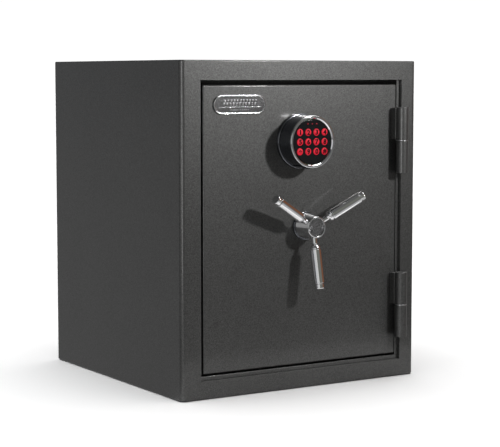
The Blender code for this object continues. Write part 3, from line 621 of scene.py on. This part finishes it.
def folded_sheet(low, high):
    """A box with no back, with its upright front edges and the rims of its top and bottom bent round."""
    shape = cube_shape(low, high)
    back = [face for face in shape.faces if face.normal.y > 0.9]
    bmesh.ops.delete(shape, geom=back, context="FACES")
    middle = (high.y + low.y) / 2
    bends = [e for e in shape.edges if all(v.co.y < middle for v in e.verts) and abs(direction(e).z) > 0.9]
    bend(shape, bends, FRONT_BEND, 14)
    ahead = [e for e in shape.edges if min(v.co.y for v in e.verts) <= high.y - TOUCH]
    bend(shape, [e for e in ahead if on_rim(e, low, high)], EDGE_BEND, 5)
    return shape


def casing():
    """The folded outer sheet, with the door opening and the anchor hole cut out of it."""
    low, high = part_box("body_shell")
    middle = (low + high) / 2
    piece = from_shape("casing", folded_sheet(low, high))
    if sum(face.normal.dot(face.center - middle) for face in piece.data.polygons) < 0:
        piece.data.flip_normals()
    sheet = piece.modifiers.new("sheet", "SOLIDIFY")
    sheet.thickness = SHEET
    sheet.offset = -1.0
    settle(piece)
    (left, right), (bottom, top) = opening_corners()
    hole = block("casing_opening", (left, low.y - 0.02, bottom), (right, low.y + 0.02, top))
    cut(piece, hole, anchor_hole())
    soften(piece, 1.5 * MM, 4, 50)
    dress(settle(piece), "body_shell")


def frame_lip():
    """A lip inside the opening, level with the door, which narrows the gap at its sides and below it."""
    frame_low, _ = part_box("body_shell")
    door_low, door_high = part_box("door_pan")
    (left, right), (bottom, top) = opening_corners()
    front = frame_low.y + 5.6 * MM
    back = front + 2.4 * MM
    sunk = 1.0 * MM
    wide_gap = 3.2 * MM
    hinge_gap = 1.0 * MM
    piece = block("frame_lip", (left - sunk, front, bottom - sunk), (right + sunk, back, top + sunk))
    room = block("lip_room", (door_low.x - wide_gap, front - BEYOND, door_low.z - wide_gap),
                 (door_high.x + hinge_gap, front + BEYOND, top + 2 * sunk))
    cut(piece, room)
    soften(piece, 0.9 * MM, 4, 50)
    dress(settle(piece), "door_frame", replaced=())


def direction(edge):
    return (edge.verts[1].co - edge.verts[0].co).normalized()


def on_rim(edge, low, high):
    heights = [v.co.z for v in edge.verts]
    return min(heights) > high.z - TOUCH or max(heights) < low.z + TOUCH


def anchor_hole():
    low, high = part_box("anchor_plug")
    centre = Vector(((low.x + high.x) / 2, (low.y + high.y) / 2, 0.0))
    return rod("casing_anchor", centre, 7.0 * MM, 0.08, -0.02, UPRIGHT, 48)


def back_weld():
    """A ground weld bead in the seam between the back panel and the casing."""
    low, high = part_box("back_panel")
    corners = ((low.x, low.z), (high.x, low.z), (high.x, high.z), (low.x, high.z))
    path = [Vector((x, high.y - 0.1 * MM, z)) for x, z in corners]
    shape = bmesh.new()
    for start, end in zip(path, path[1:] + path[:1]):
        weld_run(shape, start, end, 1.3 * MM)
    dress(from_shape("back_weld", shape), "back_panel", replaced=())


def weld_run(shape, start, end, bead):
    """A straight run of overlapping ripples, half round in section."""
    length = (end - start).length
    along = (end - start).normalized()
    outward = Vector((0.0, 1.0, 0.0))
    across = along.cross(outward)
    count = int(length / (1.1 * MM))
    sides = 8
    rows = []
    for step in range(count + 1):
        middle = start + along * (length * step / count)
        height = bead * (0.30 + 0.10 * math.cos(step * math.pi))
        angles = [math.pi * side / sides for side in range(sides + 1)]
        rows.append([shape.verts.new(middle + across * math.cos(a) * bead + outward * math.sin(a) * height)
                     for a in angles])
    for first, second in zip(rows, rows[1:]):
        for a, b, c, d in zip(first, first[1:], second[1:], second):
            shape.faces.new((a, b, c, d))
        shape.faces.new((first[-1], first[0], second[0], second[-1]))
    shape.faces.new(rows[0])
    shape.faces.new(rows[-1])


def kept_node(node, edge):
    """Keeps a CAD node's own mesh, with its seams welded, its flats merged and its edges eased."""
    piece = frame["nodes"][node]
    set_look(piece, NODE_SLOTS[node])
    weld = piece.modifiers.new("seams", "WELD")
    weld.merge_threshold = 0.01 * MM
    flats = piece.modifiers.new("flats", "DECIMATE")
    flats.decimate_type = "DISSOLVE"
    flats.angle_limit = math.radians(0.6)
    if edge:
        soften(piece, edge, 2, 40)
    smooth(piece, 50)


# ---- hinges

COLLAR = 1.2 * MM
COLLAR_GAP = 0.3 * MM
PIN_BORE = 4.8 * MM


def hinge_parts(side):
    """The two knuckles of a hinge, their leaves, and the pin with its washer collar between them."""
    pin_low, pin_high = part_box(side + "_hinge_pin")
    axis = Vector(((pin_low.x + pin_high.x) / 2, (pin_low.y + pin_high.y) / 2, 0.0))
    door_low, door_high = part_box(side + "_hinge_door_knuckle")
    frame_low, frame_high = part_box(side + "_hinge_frame_knuckle")
    split = door_low.z - COLLAR - 2 * COLLAR_GAP
    radius = axis.y - door_low.y
    soft = 0.5 * MM
    door_end = 1.0 * MM
    frame_end = 0.7 * MM
    strip_inset = 0.1 * MM
    barrel = barrel_piece(side + "_door_barrel", door_low.z, door_high.z, radius, axis)
    leaf = block(side + "_door_leaf", (door_low.x, axis.y + 2.5 * MM, door_low.z + door_end),
                 (axis.x - 1.5 * MM, door_high.y, door_high.z - door_end), soft)
    cut(leaf, rod(side + "_leaf_relief", axis, PIN_BORE, 0.6, -0.1, UPRIGHT))
    dress(fuse(barrel, leaf), side + "_hinge_door_knuckle")
    lower = barrel_piece(side + "_frame_barrel", frame_low.z, split, radius, axis)
    wide = block(side + "_frame_leaf", (axis.x + 1.0 * MM, frame_high.y - 3.0 * MM, frame_low.z + frame_end),
                 (frame_high.x, frame_high.y, split - frame_end), soft)
    tall = block(side + "_frame_strip", (axis.x + 10.5 * MM, frame_high.y - 2.8 * MM, split - 10.0 * MM),
                 (frame_high.x - strip_inset, frame_high.y - strip_inset, frame_high.z), soft)
    dress(fuse(lower, wide, tall), side + "_hinge_frame_knuckle")
    hinge_pin(side, axis, split + COLLAR_GAP)


def barrel_piece(name, low, high, radius, axis):
    soft = 0.8 * MM
    points = [(PIN_BORE, high), (radius, high, soft), (radius, low, soft), (PIN_BORE, low)]
    return turned(name, points, axis, UPRIGHT, ring=True)


def hinge_pin(side, axis, base):
    low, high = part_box(side + "_hinge_pin")
    reach = 4.5 * MM
    collar = (high.x - low.x) / 2
    points = [(0.0, high.z), (reach - 0.8 * MM, high.z, 0.2 * MM), (reach, high.z - 0.9 * MM, 0.2 * MM),
              (reach, base + COLLAR), (collar, base + COLLAR, 0.3 * MM), (collar, base, 0.3 * MM),
              (reach, base), (reach, low.z, 0.3 * MM), (0.0, low.z)]
    dress(turned(side + "_pin", points, axis, UPRIGHT), side + "_hinge_pin")


# ---- door

def door_skin():
    """The outer pan of the door, with softly rounded edges all round its face."""
    low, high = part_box("door_pan")
    sheet = Vector((3.0 * MM, 3.0 * MM, 3.0 * MM))
    past = Vector((BEYOND, BEYOND, BEYOND))
    piece = block("door_skin", low, high, 2.5 * MM, 8)
    back = block("skin_space", low + sheet, (high.x - sheet.x, high.y + BEYOND, high.z - sheet.z))
    flat = block("skin_back", (low.x - BEYOND, high.y - 2.6 * MM, low.z - BEYOND), high + past)
    rim = block("skin_rim", (low.x, high.y - 6.0 * MM, low.z), high)
    cut(piece, flat)
    fuse(piece, rim)
    shaft = passage("skin_shaft", "shaft_bush", 0.3 * MM)
    cut(piece, back, shaft, passage("skin_lead", "lock_lead", 1.5 * MM))
    dress(piece, "door_pan")


def passage(name, node, spare):
    centre, radius, _ = spot(node)
    return rod(name, centre, radius + spare, 0.12, -0.06)


def bolts():
    """Live bolts on the carriage and dead bolts at the hinge side, each with a rounded nose."""
    for node in [n for n in frame["nodes"] if "_bolt_" in n and n != "lock_bolt"]:
        low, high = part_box(node)
        radius = (high.z - low.z) / 2
        length = high.x - low.x
        tip_left = node.startswith("live")
        turn = Matrix.Rotation(math.radians(-90 if tip_left else 90), 4, "Y")
        centre = Vector((high.x if tip_left else low.x, (low.y + high.y) / 2, (low.z + high.z) / 2))
        nose = 1.5 * MM
        points = [(0.0, length), (radius - nose, length, 0.5 * MM), (radius, length - nose, 0.8 * MM),
                  (radius, 0.0, 0.3 * MM), (0.0, 0.0)]
        dress(turned(node + "_bar", points, centre, turn, 64), node, "bolt_chrome")


def cover_screws():
    """Pan-head screws with a cross recess that hold the boltwork cover."""
    low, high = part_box("boltwork_cover")
    inset = 9.0 * MM
    across = [low.x + inset, (low.x + high.x) / 2, high.x - inset]
    up = [low.z + inset, (low.z + high.z) / 2, high.z - inset]
    places = [(x, z) for x in across for z in up if (x, z) != (across[1], up[1])]
    inward = Matrix.Rotation(math.radians(-90), 4, "X")
    points = [(0.0, 2.1 * MM), (2.4 * MM, 1.9 * MM, 1.4 * MM), (3.9 * MM, 0.9 * MM, 0.8 * MM),
              (4.0 * MM, 0.0), (0.0, 0.0)]
    for index, (x, z) in enumerate(places, start=1):
        centre = Vector((x, high.y - 0.1 * MM, z))
        head = turned(f"cover_screw_{index}", points, centre, inward, 40)
        cut(head, *cross_recess(head.name, centre, math.radians(17 * index)))
        dress(head, "boltwork_cover", "zinc", replaced=())


def cross_recess(name, centre, lean):
    arms = []
    for index in range(2):
        arm = block(f"{name}_arm_{index}", (-2.1 * MM, 0.9 * MM, -0.4 * MM), (2.1 * MM, 4.0 * MM, 0.4 * MM))
        turn = Matrix.Rotation(lean + index * math.pi / 2, 4, "Y")
        arm.data.transform(Matrix.Translation(centre) @ turn)
        arms.append(arm)
    return arms


# ---- handle

SPOKES = range(3)
SPOKE_RAKE = math.atan(0.2065)


def rose():
    centre, radius, depth = spot("handle_rose")
    inner = 10.3 * MM
    points = [(inner, depth), (radius, depth, 1.2 * MM), (radius, 0.0), (inner, 0.0)]
    # The rose takes the plating painted dark, a painted shade for the dim things it reflects.
    dress(turned("rose", points, centre, ring=True), "handle_rose", "painted_shade_chrome")


def hub():
    """A tapered boss whose front lip stands round a sunk, ribbed cap."""
    centre, radius, depth = spot("handle_hub")
    front_radius = 16.75 * MM
    lip = 14.5 * MM
    dish = depth - 1.4 * MM
    bore = 7.3 * MM
    bore_end = 19.4 * MM
    points = [(0.0, dish), (lip - 0.3 * MM, dish), (lip, depth, 0.4 * MM), (front_radius, depth, 1.3 * MM),
              (radius - 0.5 * MM, 1.4 * MM, 0.8 * MM), (radius - 1.5 * MM, 0.0, 0.4 * MM), (bore, 0.0),
              (bore, bore_end), (0.0, bore_end)]
    piece = turned("hub", points, centre)
    neck = 4.3 * MM
    socket = [(0.0, 0.02), (neck, 0.02), (neck, -0.4 * MM), (0.0, -0.4 * MM)]
    cut(piece, *(spoke_turned(f"hub_socket_{index}", socket, index) for index in SPOKES))
    dress(piece, "handle_hub")
    ribbed_cap(centre, lip - 0.35 * MM, dish)


def ribbed_cap(centre, radius, height):
    """The disc in the hub's front, with shallow wavy ribs across it."""
    rings = 40
    steps = 120
    angles = [2 * math.pi * step / steps for step in range(steps)]
    shape = bmesh.new()
    rows = [[shape.verts.new(cap_point(centre, 0.0, 0.0, height))]]
    for ring in range(1, rings + 1):
        reach = radius * ring / rings
        rows.append([shape.verts.new(cap_point(centre, reach * math.cos(a), reach * math.sin(a), height))
                     for a in angles])
    back = centre.y - height + 0.8 * MM
    rows.append([shape.verts.new((v.co.x, back, v.co.z)) for v in rows[-1]])
    for upper, lower in zip(rows, rows[1:]):
        join_rings(shape, upper, lower, steps)
    shape.faces.new(rows[-1])
    dress(from_shape("hub_cap", shape), "handle_hub", "ribbed_chrome", replaced=())


def cap_point(centre, x, z, height):
    pitch = 2.3 * MM
    wave = 0.45 * MM * math.sin(x / (5.0 * MM))
    rise = 0.25 * MM + 0.20 * MM * math.sin(2 * math.pi * (z + wave + 0.12 * x) / pitch)
    return centre + Vector((x, -height - rise, z))


def spoke_axis(index):
    """Root and direction of a spoke, which leans forward from a point in front of the handle's axis."""
    turn = math.radians(30 + 120 * index)
    outward = Vector((math.cos(turn), 0.0, math.sin(turn)))
    axis = next(j for j in frame["joints"] if j["name"] == "handle_turn")["pos_m"]
    root = Vector(axis) + Vector((0.0, -21.1 * MM, 0.0)) + outward * 12.5 * MM
    return root, outward * math.cos(SPOKE_RAKE) + Vector((0.0, -math.sin(SPOKE_RAKE), 0.0))


def spoke_turned(name, points, index):
    root, along = spoke_axis(index)
    return turned(name, points, root, along.to_track_quat("Z", "Y").to_matrix().to_4x4(), 64)


def spokes():
    """A thin neck, a collar, a slightly tapered grip and a grooved end cap."""
    tip = 84.0 * MM / math.cos(SPOKE_RAKE)
    cap_groove = 6.4 * MM
    collar_groove = 7.6 * MM
    neck = 3.9 * MM
    sharp = 0.15 * MM
    points = [
        (0.0, tip), (7.4 * MM, tip, 1.8 * MM), (7.65 * MM, tip - 7.0 * MM, 0.25 * MM),
        (cap_groove, tip - 7.4 * MM, sharp), (cap_groove, tip - 8.4 * MM, sharp),
        (8.4 * MM, tip - 9.0 * MM, 0.4 * MM), (8.8 * MM, 24.0 * MM, 0.5 * MM),
        (collar_groove, 23.2 * MM, sharp), (collar_groove, 22.2 * MM, sharp),
        (8.7 * MM, 21.4 * MM, 0.35 * MM), (7.2 * MM, 17.8 * MM, 1.6 * MM), (neck, 14.5 * MM, 1.6 * MM),
        (neck, 0.0), (0.0, 0.0)]
    for index in SPOKES:
        dress(spoke_turned(f"grip_{index + 1}", points, index), f"spoke_{index + 1}")


# ---- keypad

LAMP_OFFSETS = (-8.0 * MM, 0.0, 8.0 * MM)
FINE_STEPS = 128


def keypad_shells():
    centre, radius, depth = spot("keypad_base")
    points = [(0.0, depth), (radius, depth, 1.8 * MM), (radius, 0.0, 0.3 * MM), (0.0, 0.0)]
    # The foot takes the plating painted dark, a painted shade for the dim things it reflects.
    dress(turned("keypad_foot", points, centre, steps=FINE_STEPS), "keypad_base", "painted_shade_chrome")

    centre, radius, depth = spot("keypad_housing")
    inner = radius - 2.9 * MM
    points = [(inner, depth), (radius - 0.8 * MM, depth, 0.3 * MM), (radius - 0.4 * MM, 10.0 * MM),
              (radius, 0.0, 0.5 * MM), (inner, 0.0)]
    body = turned("keypad_body", points, centre, steps=FINE_STEPS, ring=True)
    low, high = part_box("battery_drawer")
    side = 15.2 * MM
    spare = 0.4 * MM
    slot = block("drawer_slot", (centre.x - side, low.y + 1.0 * MM - spare, centre.z - 0.06),
                 (centre.x + side, high.y + spare, centre.z - 0.02))
    dress(cut(body, slot), "keypad_housing")

    centre, radius, depth = spot("keypad_bezel")
    inner = radius - 4.9 * MM
    seat = radius - 2.8 * MM
    step = 1.3 * MM
    points = [(inner, depth - 1.6 * MM, 0.2 * MM), (radius - 3.4 * MM, depth, 0.7 * MM),
              (radius, depth, 1.9 * MM), (radius, step, 0.25 * MM), (seat, step), (seat, 0.0), (inner, 0.0)]
    dress(turned("keypad_ring", points, centre, steps=FINE_STEPS, ring=True), "keypad_bezel")


def keypad_window():
    """The dark face, with a round hole for each key and each light."""
    centre, radius, depth = spot("keypad_face")
    points = [(0.0, depth), (radius, depth, 0.3 * MM), (radius, 0.0), (0.0, 0.0)]
    face = turned("keypad_window", points, centre, steps=FINE_STEPS)
    tools = [round_tool(node + "_hole", spot(node)[0], 5.8 * MM) for node in key_nodes()]
    lights_low, lights_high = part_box("status_lights")
    middle = (lights_low + lights_high) / 2
    for index, offset in enumerate(LAMP_OFFSETS):
        tools.append(round_tool(f"light_hole_{index}", middle + Vector((offset, 0.0, 0.0)), 1.3 * MM, 24))
    dress(cut(face, *tools), "keypad_face", "face_gloss")


def round_tool(name, centre, radius, steps=48):
    return rod(name, centre, radius, 0.02, -0.02, steps=steps)


def key_nodes():
    return sorted(node for node in frame["nodes"] if node.startswith("key_"))


def keys():
    signs = {"star": "*", "hash": "#"}
    radius = 5.4 * MM
    flange_top = 0.8 * MM
    for node in key_nodes():
        centre, flange, depth = spot(node)
        points = [(0.0, depth), (radius - 1.2 * MM, depth - 0.3 * MM, 3.0 * MM),
                  (radius, depth - 0.9 * MM, 0.6 * MM), (radius, flange_top), (flange, flange_top),
                  (flange, 0.0), (0.0, 0.0)]
        dress(turned(node + "_cap", points, centre, steps=64), node)
        mark = node.removeprefix("key_")
        digit(node, signs.get(mark, mark), Vector((centre.x, centre.y - depth, centre.z)))


def digit(node, sign, front):
    """A generic sign, printed as a thin raised layer on its key."""
    letters = bpy.data.curves.new(node + "_sign", "FONT")
    letters.body = sign
    letters.size = 10.2 * MM
    letters.extrude = 0.20 * MM
    letters.offset = 0.42 * MM
    letters.resolution_u = 6
    written = add_object(node + "_sign", letters)
    mesh = evaluated_mesh(written)
    bpy.data.objects.remove(written, do_unlink=True)
    xs = [v.co.x for v in mesh.vertices]
    ys = [v.co.y for v in mesh.vertices]
    middle = Vector(((min(xs) + max(xs)) / 2, (min(ys) + max(ys)) / 2, 0.0))
    mesh.transform(Matrix.Translation(front) @ OUTWARD @ Matrix.Translation(-middle))
    piece = add_object(node + "_sign", mesh)
    set_look(piece, "digit_ink")
    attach(piece, NODE_BODIES[node])


def lights():
    """A strip behind the window with three small posts that reach into its holes."""
    low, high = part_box("status_lights")
    strip = block("status_lamps", (low.x, high.y - 1.8 * MM, low.z), high, 0.3 * MM)
    middle = (low + high) / 2
    radius = 1.0 * MM
    root = -0.5 * MM
    points = [(0.0, 3.2 * MM), (radius, 3.1 * MM, 0.3 * MM), (radius, root), (0.0, root)]
    posts = []
    for index, offset in enumerate(LAMP_OFFSETS):
        centre = Vector((middle.x + offset, low.y + 3.2 * MM, middle.z))
        posts.append(turned(f"lamp_post_{index}", points, centre, steps=24))
    dress(fuse(strip, *posts), "status_lights", "dim_red")


def drawer():
    """The battery tray, whose round end closes the slot in the keypad's underside."""
    low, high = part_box("battery_drawer")
    centre, _, _ = spot("keypad_housing")
    half = 14.8 * MM
    wall = 1.3 * MM
    front = low.y + 1.0 * MM
    bottom = centre.z - 46.0 * MM
    tray = block("battery_tray", (centre.x - half, front, bottom), (centre.x + half, high.y, high.z))
    end = block("tray_end", (low.x, low.y, bottom), (high.x, high.y, centre.z - 30.0 * MM))
    cut(end, round_tool("tray_end_inside", centre, 41.7 * MM, FINE_STEPS))
    fuse(tray, end)
    combine(tray, [round_tool("tray_outline", centre, 42.9 * MM, FINE_STEPS)], "INTERSECT")
    room = block("tray_room", (centre.x - half + wall, front + wall, centre.z - 37.8 * MM),
                 (centre.x + half - wall, high.y - wall, high.z + BEYOND))
    cut(tray, room)
    soften(tray, 0.35 * MM, 2, 50)
    dress(settle(tray), "battery_drawer")


# ---- name plate

def stadium(half_length, half_height, inset, steps=24):
    """Points round a long outline with round ends, drawn in by the inset."""
    reach = half_length - half_height
    radius = half_height - inset
    points = []
    for side, middle in enumerate((reach, -reach)):
        for step in range(steps + 1):
            angle = math.pi * (step / steps - 0.5 + side)
            points.append((middle + math.cos(angle) * radius, math.sin(angle) * radius))
    return points


def name_plate():
    """A plate with a raised rim round a sunk grained field, with studs and a bar but no lettering."""
    low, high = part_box("name_plate")
    middle = (low + high) / 2
    depth = high.y - low.y
    field = depth - 0.75 * MM
    bead = 2.8 * MM
    quarter = [math.pi * step / 12 for step in range(12)]
    arc = [(bead * (0.5 - 0.5 * math.cos(a)), depth - 1.1 * MM * (1 - math.sin(a))) for a in quarter]
    rim = lofted("plate_rim", [(0.0, 0.0), *arc, (bead - 0.05 * MM, field)], low, high)
    dress(rim, "name_plate", "plate_raised")
    edge = 2.5 * MM
    inner = [(edge, 0.5 * MM), (edge, field + 0.02 * MM), (bead, field + 0.04 * MM)]
    dress(lofted("plate_field", inner, low, high), "name_plate", replaced=())
    dress(plate_pattern(middle, high.y - field), "name_plate", "plate_raised", replaced=())
    bar_half = (high.x - low.x) / 2 - 9.0 * MM
    bar = block("plate_bar", (middle.x - bar_half, low.y + 0.15 * MM, middle.z - 4.4 * MM),
                (middle.x + bar_half, high.y - field + 0.3 * MM, middle.z - 3.5 * MM), 0.2 * MM)
    dress(bar, "name_plate", "plate_raised", replaced=())


def lofted(name, section, low, high):
    """Joins outlines at growing insets and heights, closed at the front and the back."""
    middle = (low + high) / 2
    shape = bmesh.new()
    rows = []
    for inset, height in section:
        outline = stadium((high.x - low.x) / 2, (high.z - low.z) / 2, inset)
        rows.append([shape.verts.new((middle.x + x, high.y - height, middle.z + z)) for x, z in outline])
    for upper, lower in zip(rows, rows[1:]):
        join_rings(shape, upper, lower, len(upper))
    shape.faces.new(rows[0])
    shape.faces.new(rows[-1])
    return from_shape(name, shape)


def plate_pattern(middle, floor):
    """Two bands of small raised studs, where a maker would put a name."""
    shape = bmesh.new()
    bands = ((5.6 * MM, 11, 2, 4.6 * MM, 3.4 * MM), (3.4 * MM, 10, 1, 2.8 * MM, -8.0 * MM))
    for pitch, columns, rows, tall, centre in bands:
        for row in range(rows):
            for column in range(columns):
                x = middle.x + (column - (columns - 1) / 2 + 0.3 * (row % 2)) * pitch
                z = middle.z + centre + (row - (rows - 1) / 2) * tall
                stud(shape, Vector((x, floor, z)), pitch * 0.40, tall * 0.42, 0.70 * MM)
    return from_shape("plate_pattern", shape)


def stud(shape, base, across, up, height):
    """One raised stud with sloping sides and a small flat top."""
    corners = [(-across, -up), (across, -up), (across, up), (-across, up)]
    low = [shape.verts.new(base + Vector((x, 0.2 * MM, z))) for x, z in corners]
    high = [shape.verts.new(base + Vector((x * 0.35, -height, z * 0.45))) for x, z in corners]
    shape.faces.new(low)
    shape.faces.new(high)
    join_rings(shape, high, low, 4)


# ---- studio

def paper(name, corners, height):
    """A flat pale sheet."""
    shape = bmesh.new()
    shape.faces.new([shape.verts.new((x, y, height)) for x, y in corners])
    piece = from_shape(name, shape)
    look = Look(name, (0.90, 0.90, 0.90), 0.9, Specular_IOR_Level=0.1)
    look.mottle(0.3, 2.0, 0.995, 1.0)
    look.gloss(0.05, 2.0, 0.86, 0.94)
    piece.data.materials.append(look.material)
    return piece


def link_light(light, state, *pieces):
    """Makes a lamp light only the given pieces, or everything but them."""
    group = bpy.data.collections.new(light.name + "_pieces")
    for index, piece in enumerate(pieces):
        group.objects.link(piece)
        group.collection_objects[index].light_linking.link_state = state
    light.light_linking.receiver_collection = group


def floor():
    """A wide pale floor, and a small sheet in front of the safe, which shiny surfaces see like a table."""
    wide = 40.0
    far = paper("studio_floor", [(-wide, -wide), (wide, -wide), (wide, wide), (-wide, wide)], -0.8 * MM)
    far.visible_glossy = False
    near = paper("studio_table", [(-0.32, -0.50), (0.38, -0.50), (0.38, -0.18), (-0.32, -0.18)], -0.3 * MM)
    near.visible_camera = near.visible_shadow = False
    far.visible_diffuse = near.visible_diffuse = False
    data = bpy.data.lights.new("floor_light", "SUN")
    data.energy = 3.8
    data.angle = math.radians(70)
    link_light(add_object("floor_light", data), "INCLUDE", far, near)
    return far, near


def area_light(name, direction, distance, size, power):
    """A soft lamp that points at the middle of the door."""
    door_low, door_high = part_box("door_pan")
    target = (door_low + door_high) / 2
    data = bpy.data.lights.new(name, "AREA")
    data.shape = "RECTANGLE"
    data.size, data.size_y = size
    data.energy = power
    light = add_object(name, data)
    light.location = target + Vector(direction).normalized() * distance
    light.rotation_euler = (target - light.location).to_track_quat("-Z", "Y").to_euler()
    light.visible_camera = False
    return light


def world():
    """White to the camera. Surfaces see a dim room instead, paler in front and below, brown at the right."""
    sky = bpy.data.worlds.new("studio")
    sky.use_nodes = True
    bpy.context.scene.world = sky
    tree = sky.node_tree
    tree.nodes.clear()

    def add(kind, inputs=None, **settings):
        return add_node(tree, kind, inputs, **settings).outputs

    def share(value, start, end):
        return add("ShaderNodeMapRange", {"Value": value, "From Min": start, "From Max": end},
                   interpolation_type="SMOOTHSTEP")["Result"]

    def both_of(first, second):
        return add("ShaderNodeMath", {0: first, 1: second}, operation="MULTIPLY")[0]

    along = add("ShaderNodeSeparateXYZ", {"Vector": add("ShaderNodeTexCoord")["Generated"]})
    above = share(along["Z"], -0.06, 0.04)
    low = both_of(above, share(along["Z"], 0.85, 0.60))
    ahead = both_of(low, share(along["Y"], -0.40, -0.85))
    right = both_of(low, share(along["X"], 0.62, 0.82))
    behind = both_of(low, share(along["Y"], 0.05, 0.35))
    room = (0.15, 0.15, 0.15, 1.0)
    for part, colour in ((share(along["Z"], -0.12, -0.42), (0.48, 0.48, 0.48)), (above, (0.12, 0.12, 0.12)),
                         (low, (0.05, 0.055, 0.065)), (ahead, (0.165, 0.170, 0.150)),
                         (right, (0.19, 0.085, 0.048)), (behind, (0.050, 0.056, 0.066))):
        room = add("ShaderNodeMix", {0: part, 6: room, 7: (*colour, 1.0)}, data_type="RGBA")[2]
    seen = add("ShaderNodeBackground", {"Color": (1.0, 1.0, 1.0, 1.0), "Strength": 1.05})[0]
    around = add("ShaderNodeBackground", {"Color": room, "Strength": 1.0})[0]
    camera_ray = add("ShaderNodeLightPath")["Is Camera Ray"]
    both = add("ShaderNodeMixShader", {0: camera_ray, 1: around, 2: seen})[0]
    add("ShaderNodeOutputWorld", {"Surface": both})


# A lamp's direction from the door, its distance and size in metres, and its power in watts.
LAMPS = {
    "key_light": ((0.42, -0.79, 0.45), 1.12, (0.09, 0.09), 9.6),
    "left_panel": ((-0.81, -0.59, 0.20), 2.1, (2.3, 1.2), 4.6),
    "top_panel": ((0.42, -0.22, 0.88), 2.0, (1.6, 1.2), 20.0),
}
# The same for the lamps that don't light the shiny pieces.
SOFT_LAMPS = {
    "left_strip": ((-0.73, -0.67, 0.12), 2.4, (0.48, 1.3), 15.0),
    "left_fill": ((-0.97, -0.10, 0.12), 2.4, (1.2, 1.6), 3.0),
    "side_panel": ((-0.62, 0.72, 0.12), 2.6, (3.2, 2.6), 7.8),
    "rear_panel": ((0.66, 0.74, 0.12), 2.6, (3.2, 2.6), 9.0),
}


def studio_lights(sheets):
    shiny = [piece for piece in bpy.context.scene.objects if piece.type == "MESH" and piece.data.materials
             and piece.data.materials[0] in SHINY]
    for lamps, left_out in ((LAMPS, sheets), (SOFT_LAMPS, (*sheets, *shiny))):
        for name, lamp in lamps.items():
            link_light(area_light(name, *lamp), "EXCLUDE", *left_out)


def camera():
    data = bpy.data.cameras.new("camera")
    data.sensor_width = 36.0
    data.lens = 113.17
    eye = add_object("camera", data)
    eye.location = (-1.3907, -2.2711, 0.4964)
    eye.rotation_euler = (math.radians(84.62), 0.0, math.radians(-32.17))
    bpy.context.scene.camera = eye
    bpy.context.scene.view_settings.view_transform = "Standard"


# ---- assembly

casing()
frame_lip()
back_weld()
for name in ("lower", "upper"):
    hinge_parts(name)
door_skin()
bolts()
cover_screws()
rose()
hub()
spokes()
keypad_shells()
keypad_window()
keys()
lights()
drawer()
name_plate()

KEPT_EDGES = {
    "back_panel": 0.8, "door_frame": 0.7, "door_seal": 0.8, "inner_liner": 0.5, "fire_fill": 0.0,
    "floor_mat": 0.9, "anchor_plug": 0.3, "shelf": 0.4, "shelf_rail_left": 0.3, "shelf_rail_right": 0.3,
    "door_fill": 0.0, "boltwork_housing": 0.6, "boltwork_cover": 0.4, "shaft_bush": 0.3, "lock_body": 0.4,
    "lock_lead": 0.0, "keypad_board": 0.2, "bolt_carriage": 0.4, "handle_shaft": 0.2, "crank": 0.4,
    "shaft_nut": 0.4, "lock_bolt": 0.3, "battery": 0.3,
}
for name, width in KEPT_EDGES.items():
    kept_node(name, width * MM)

world()
studio_lights(floor())
camera()
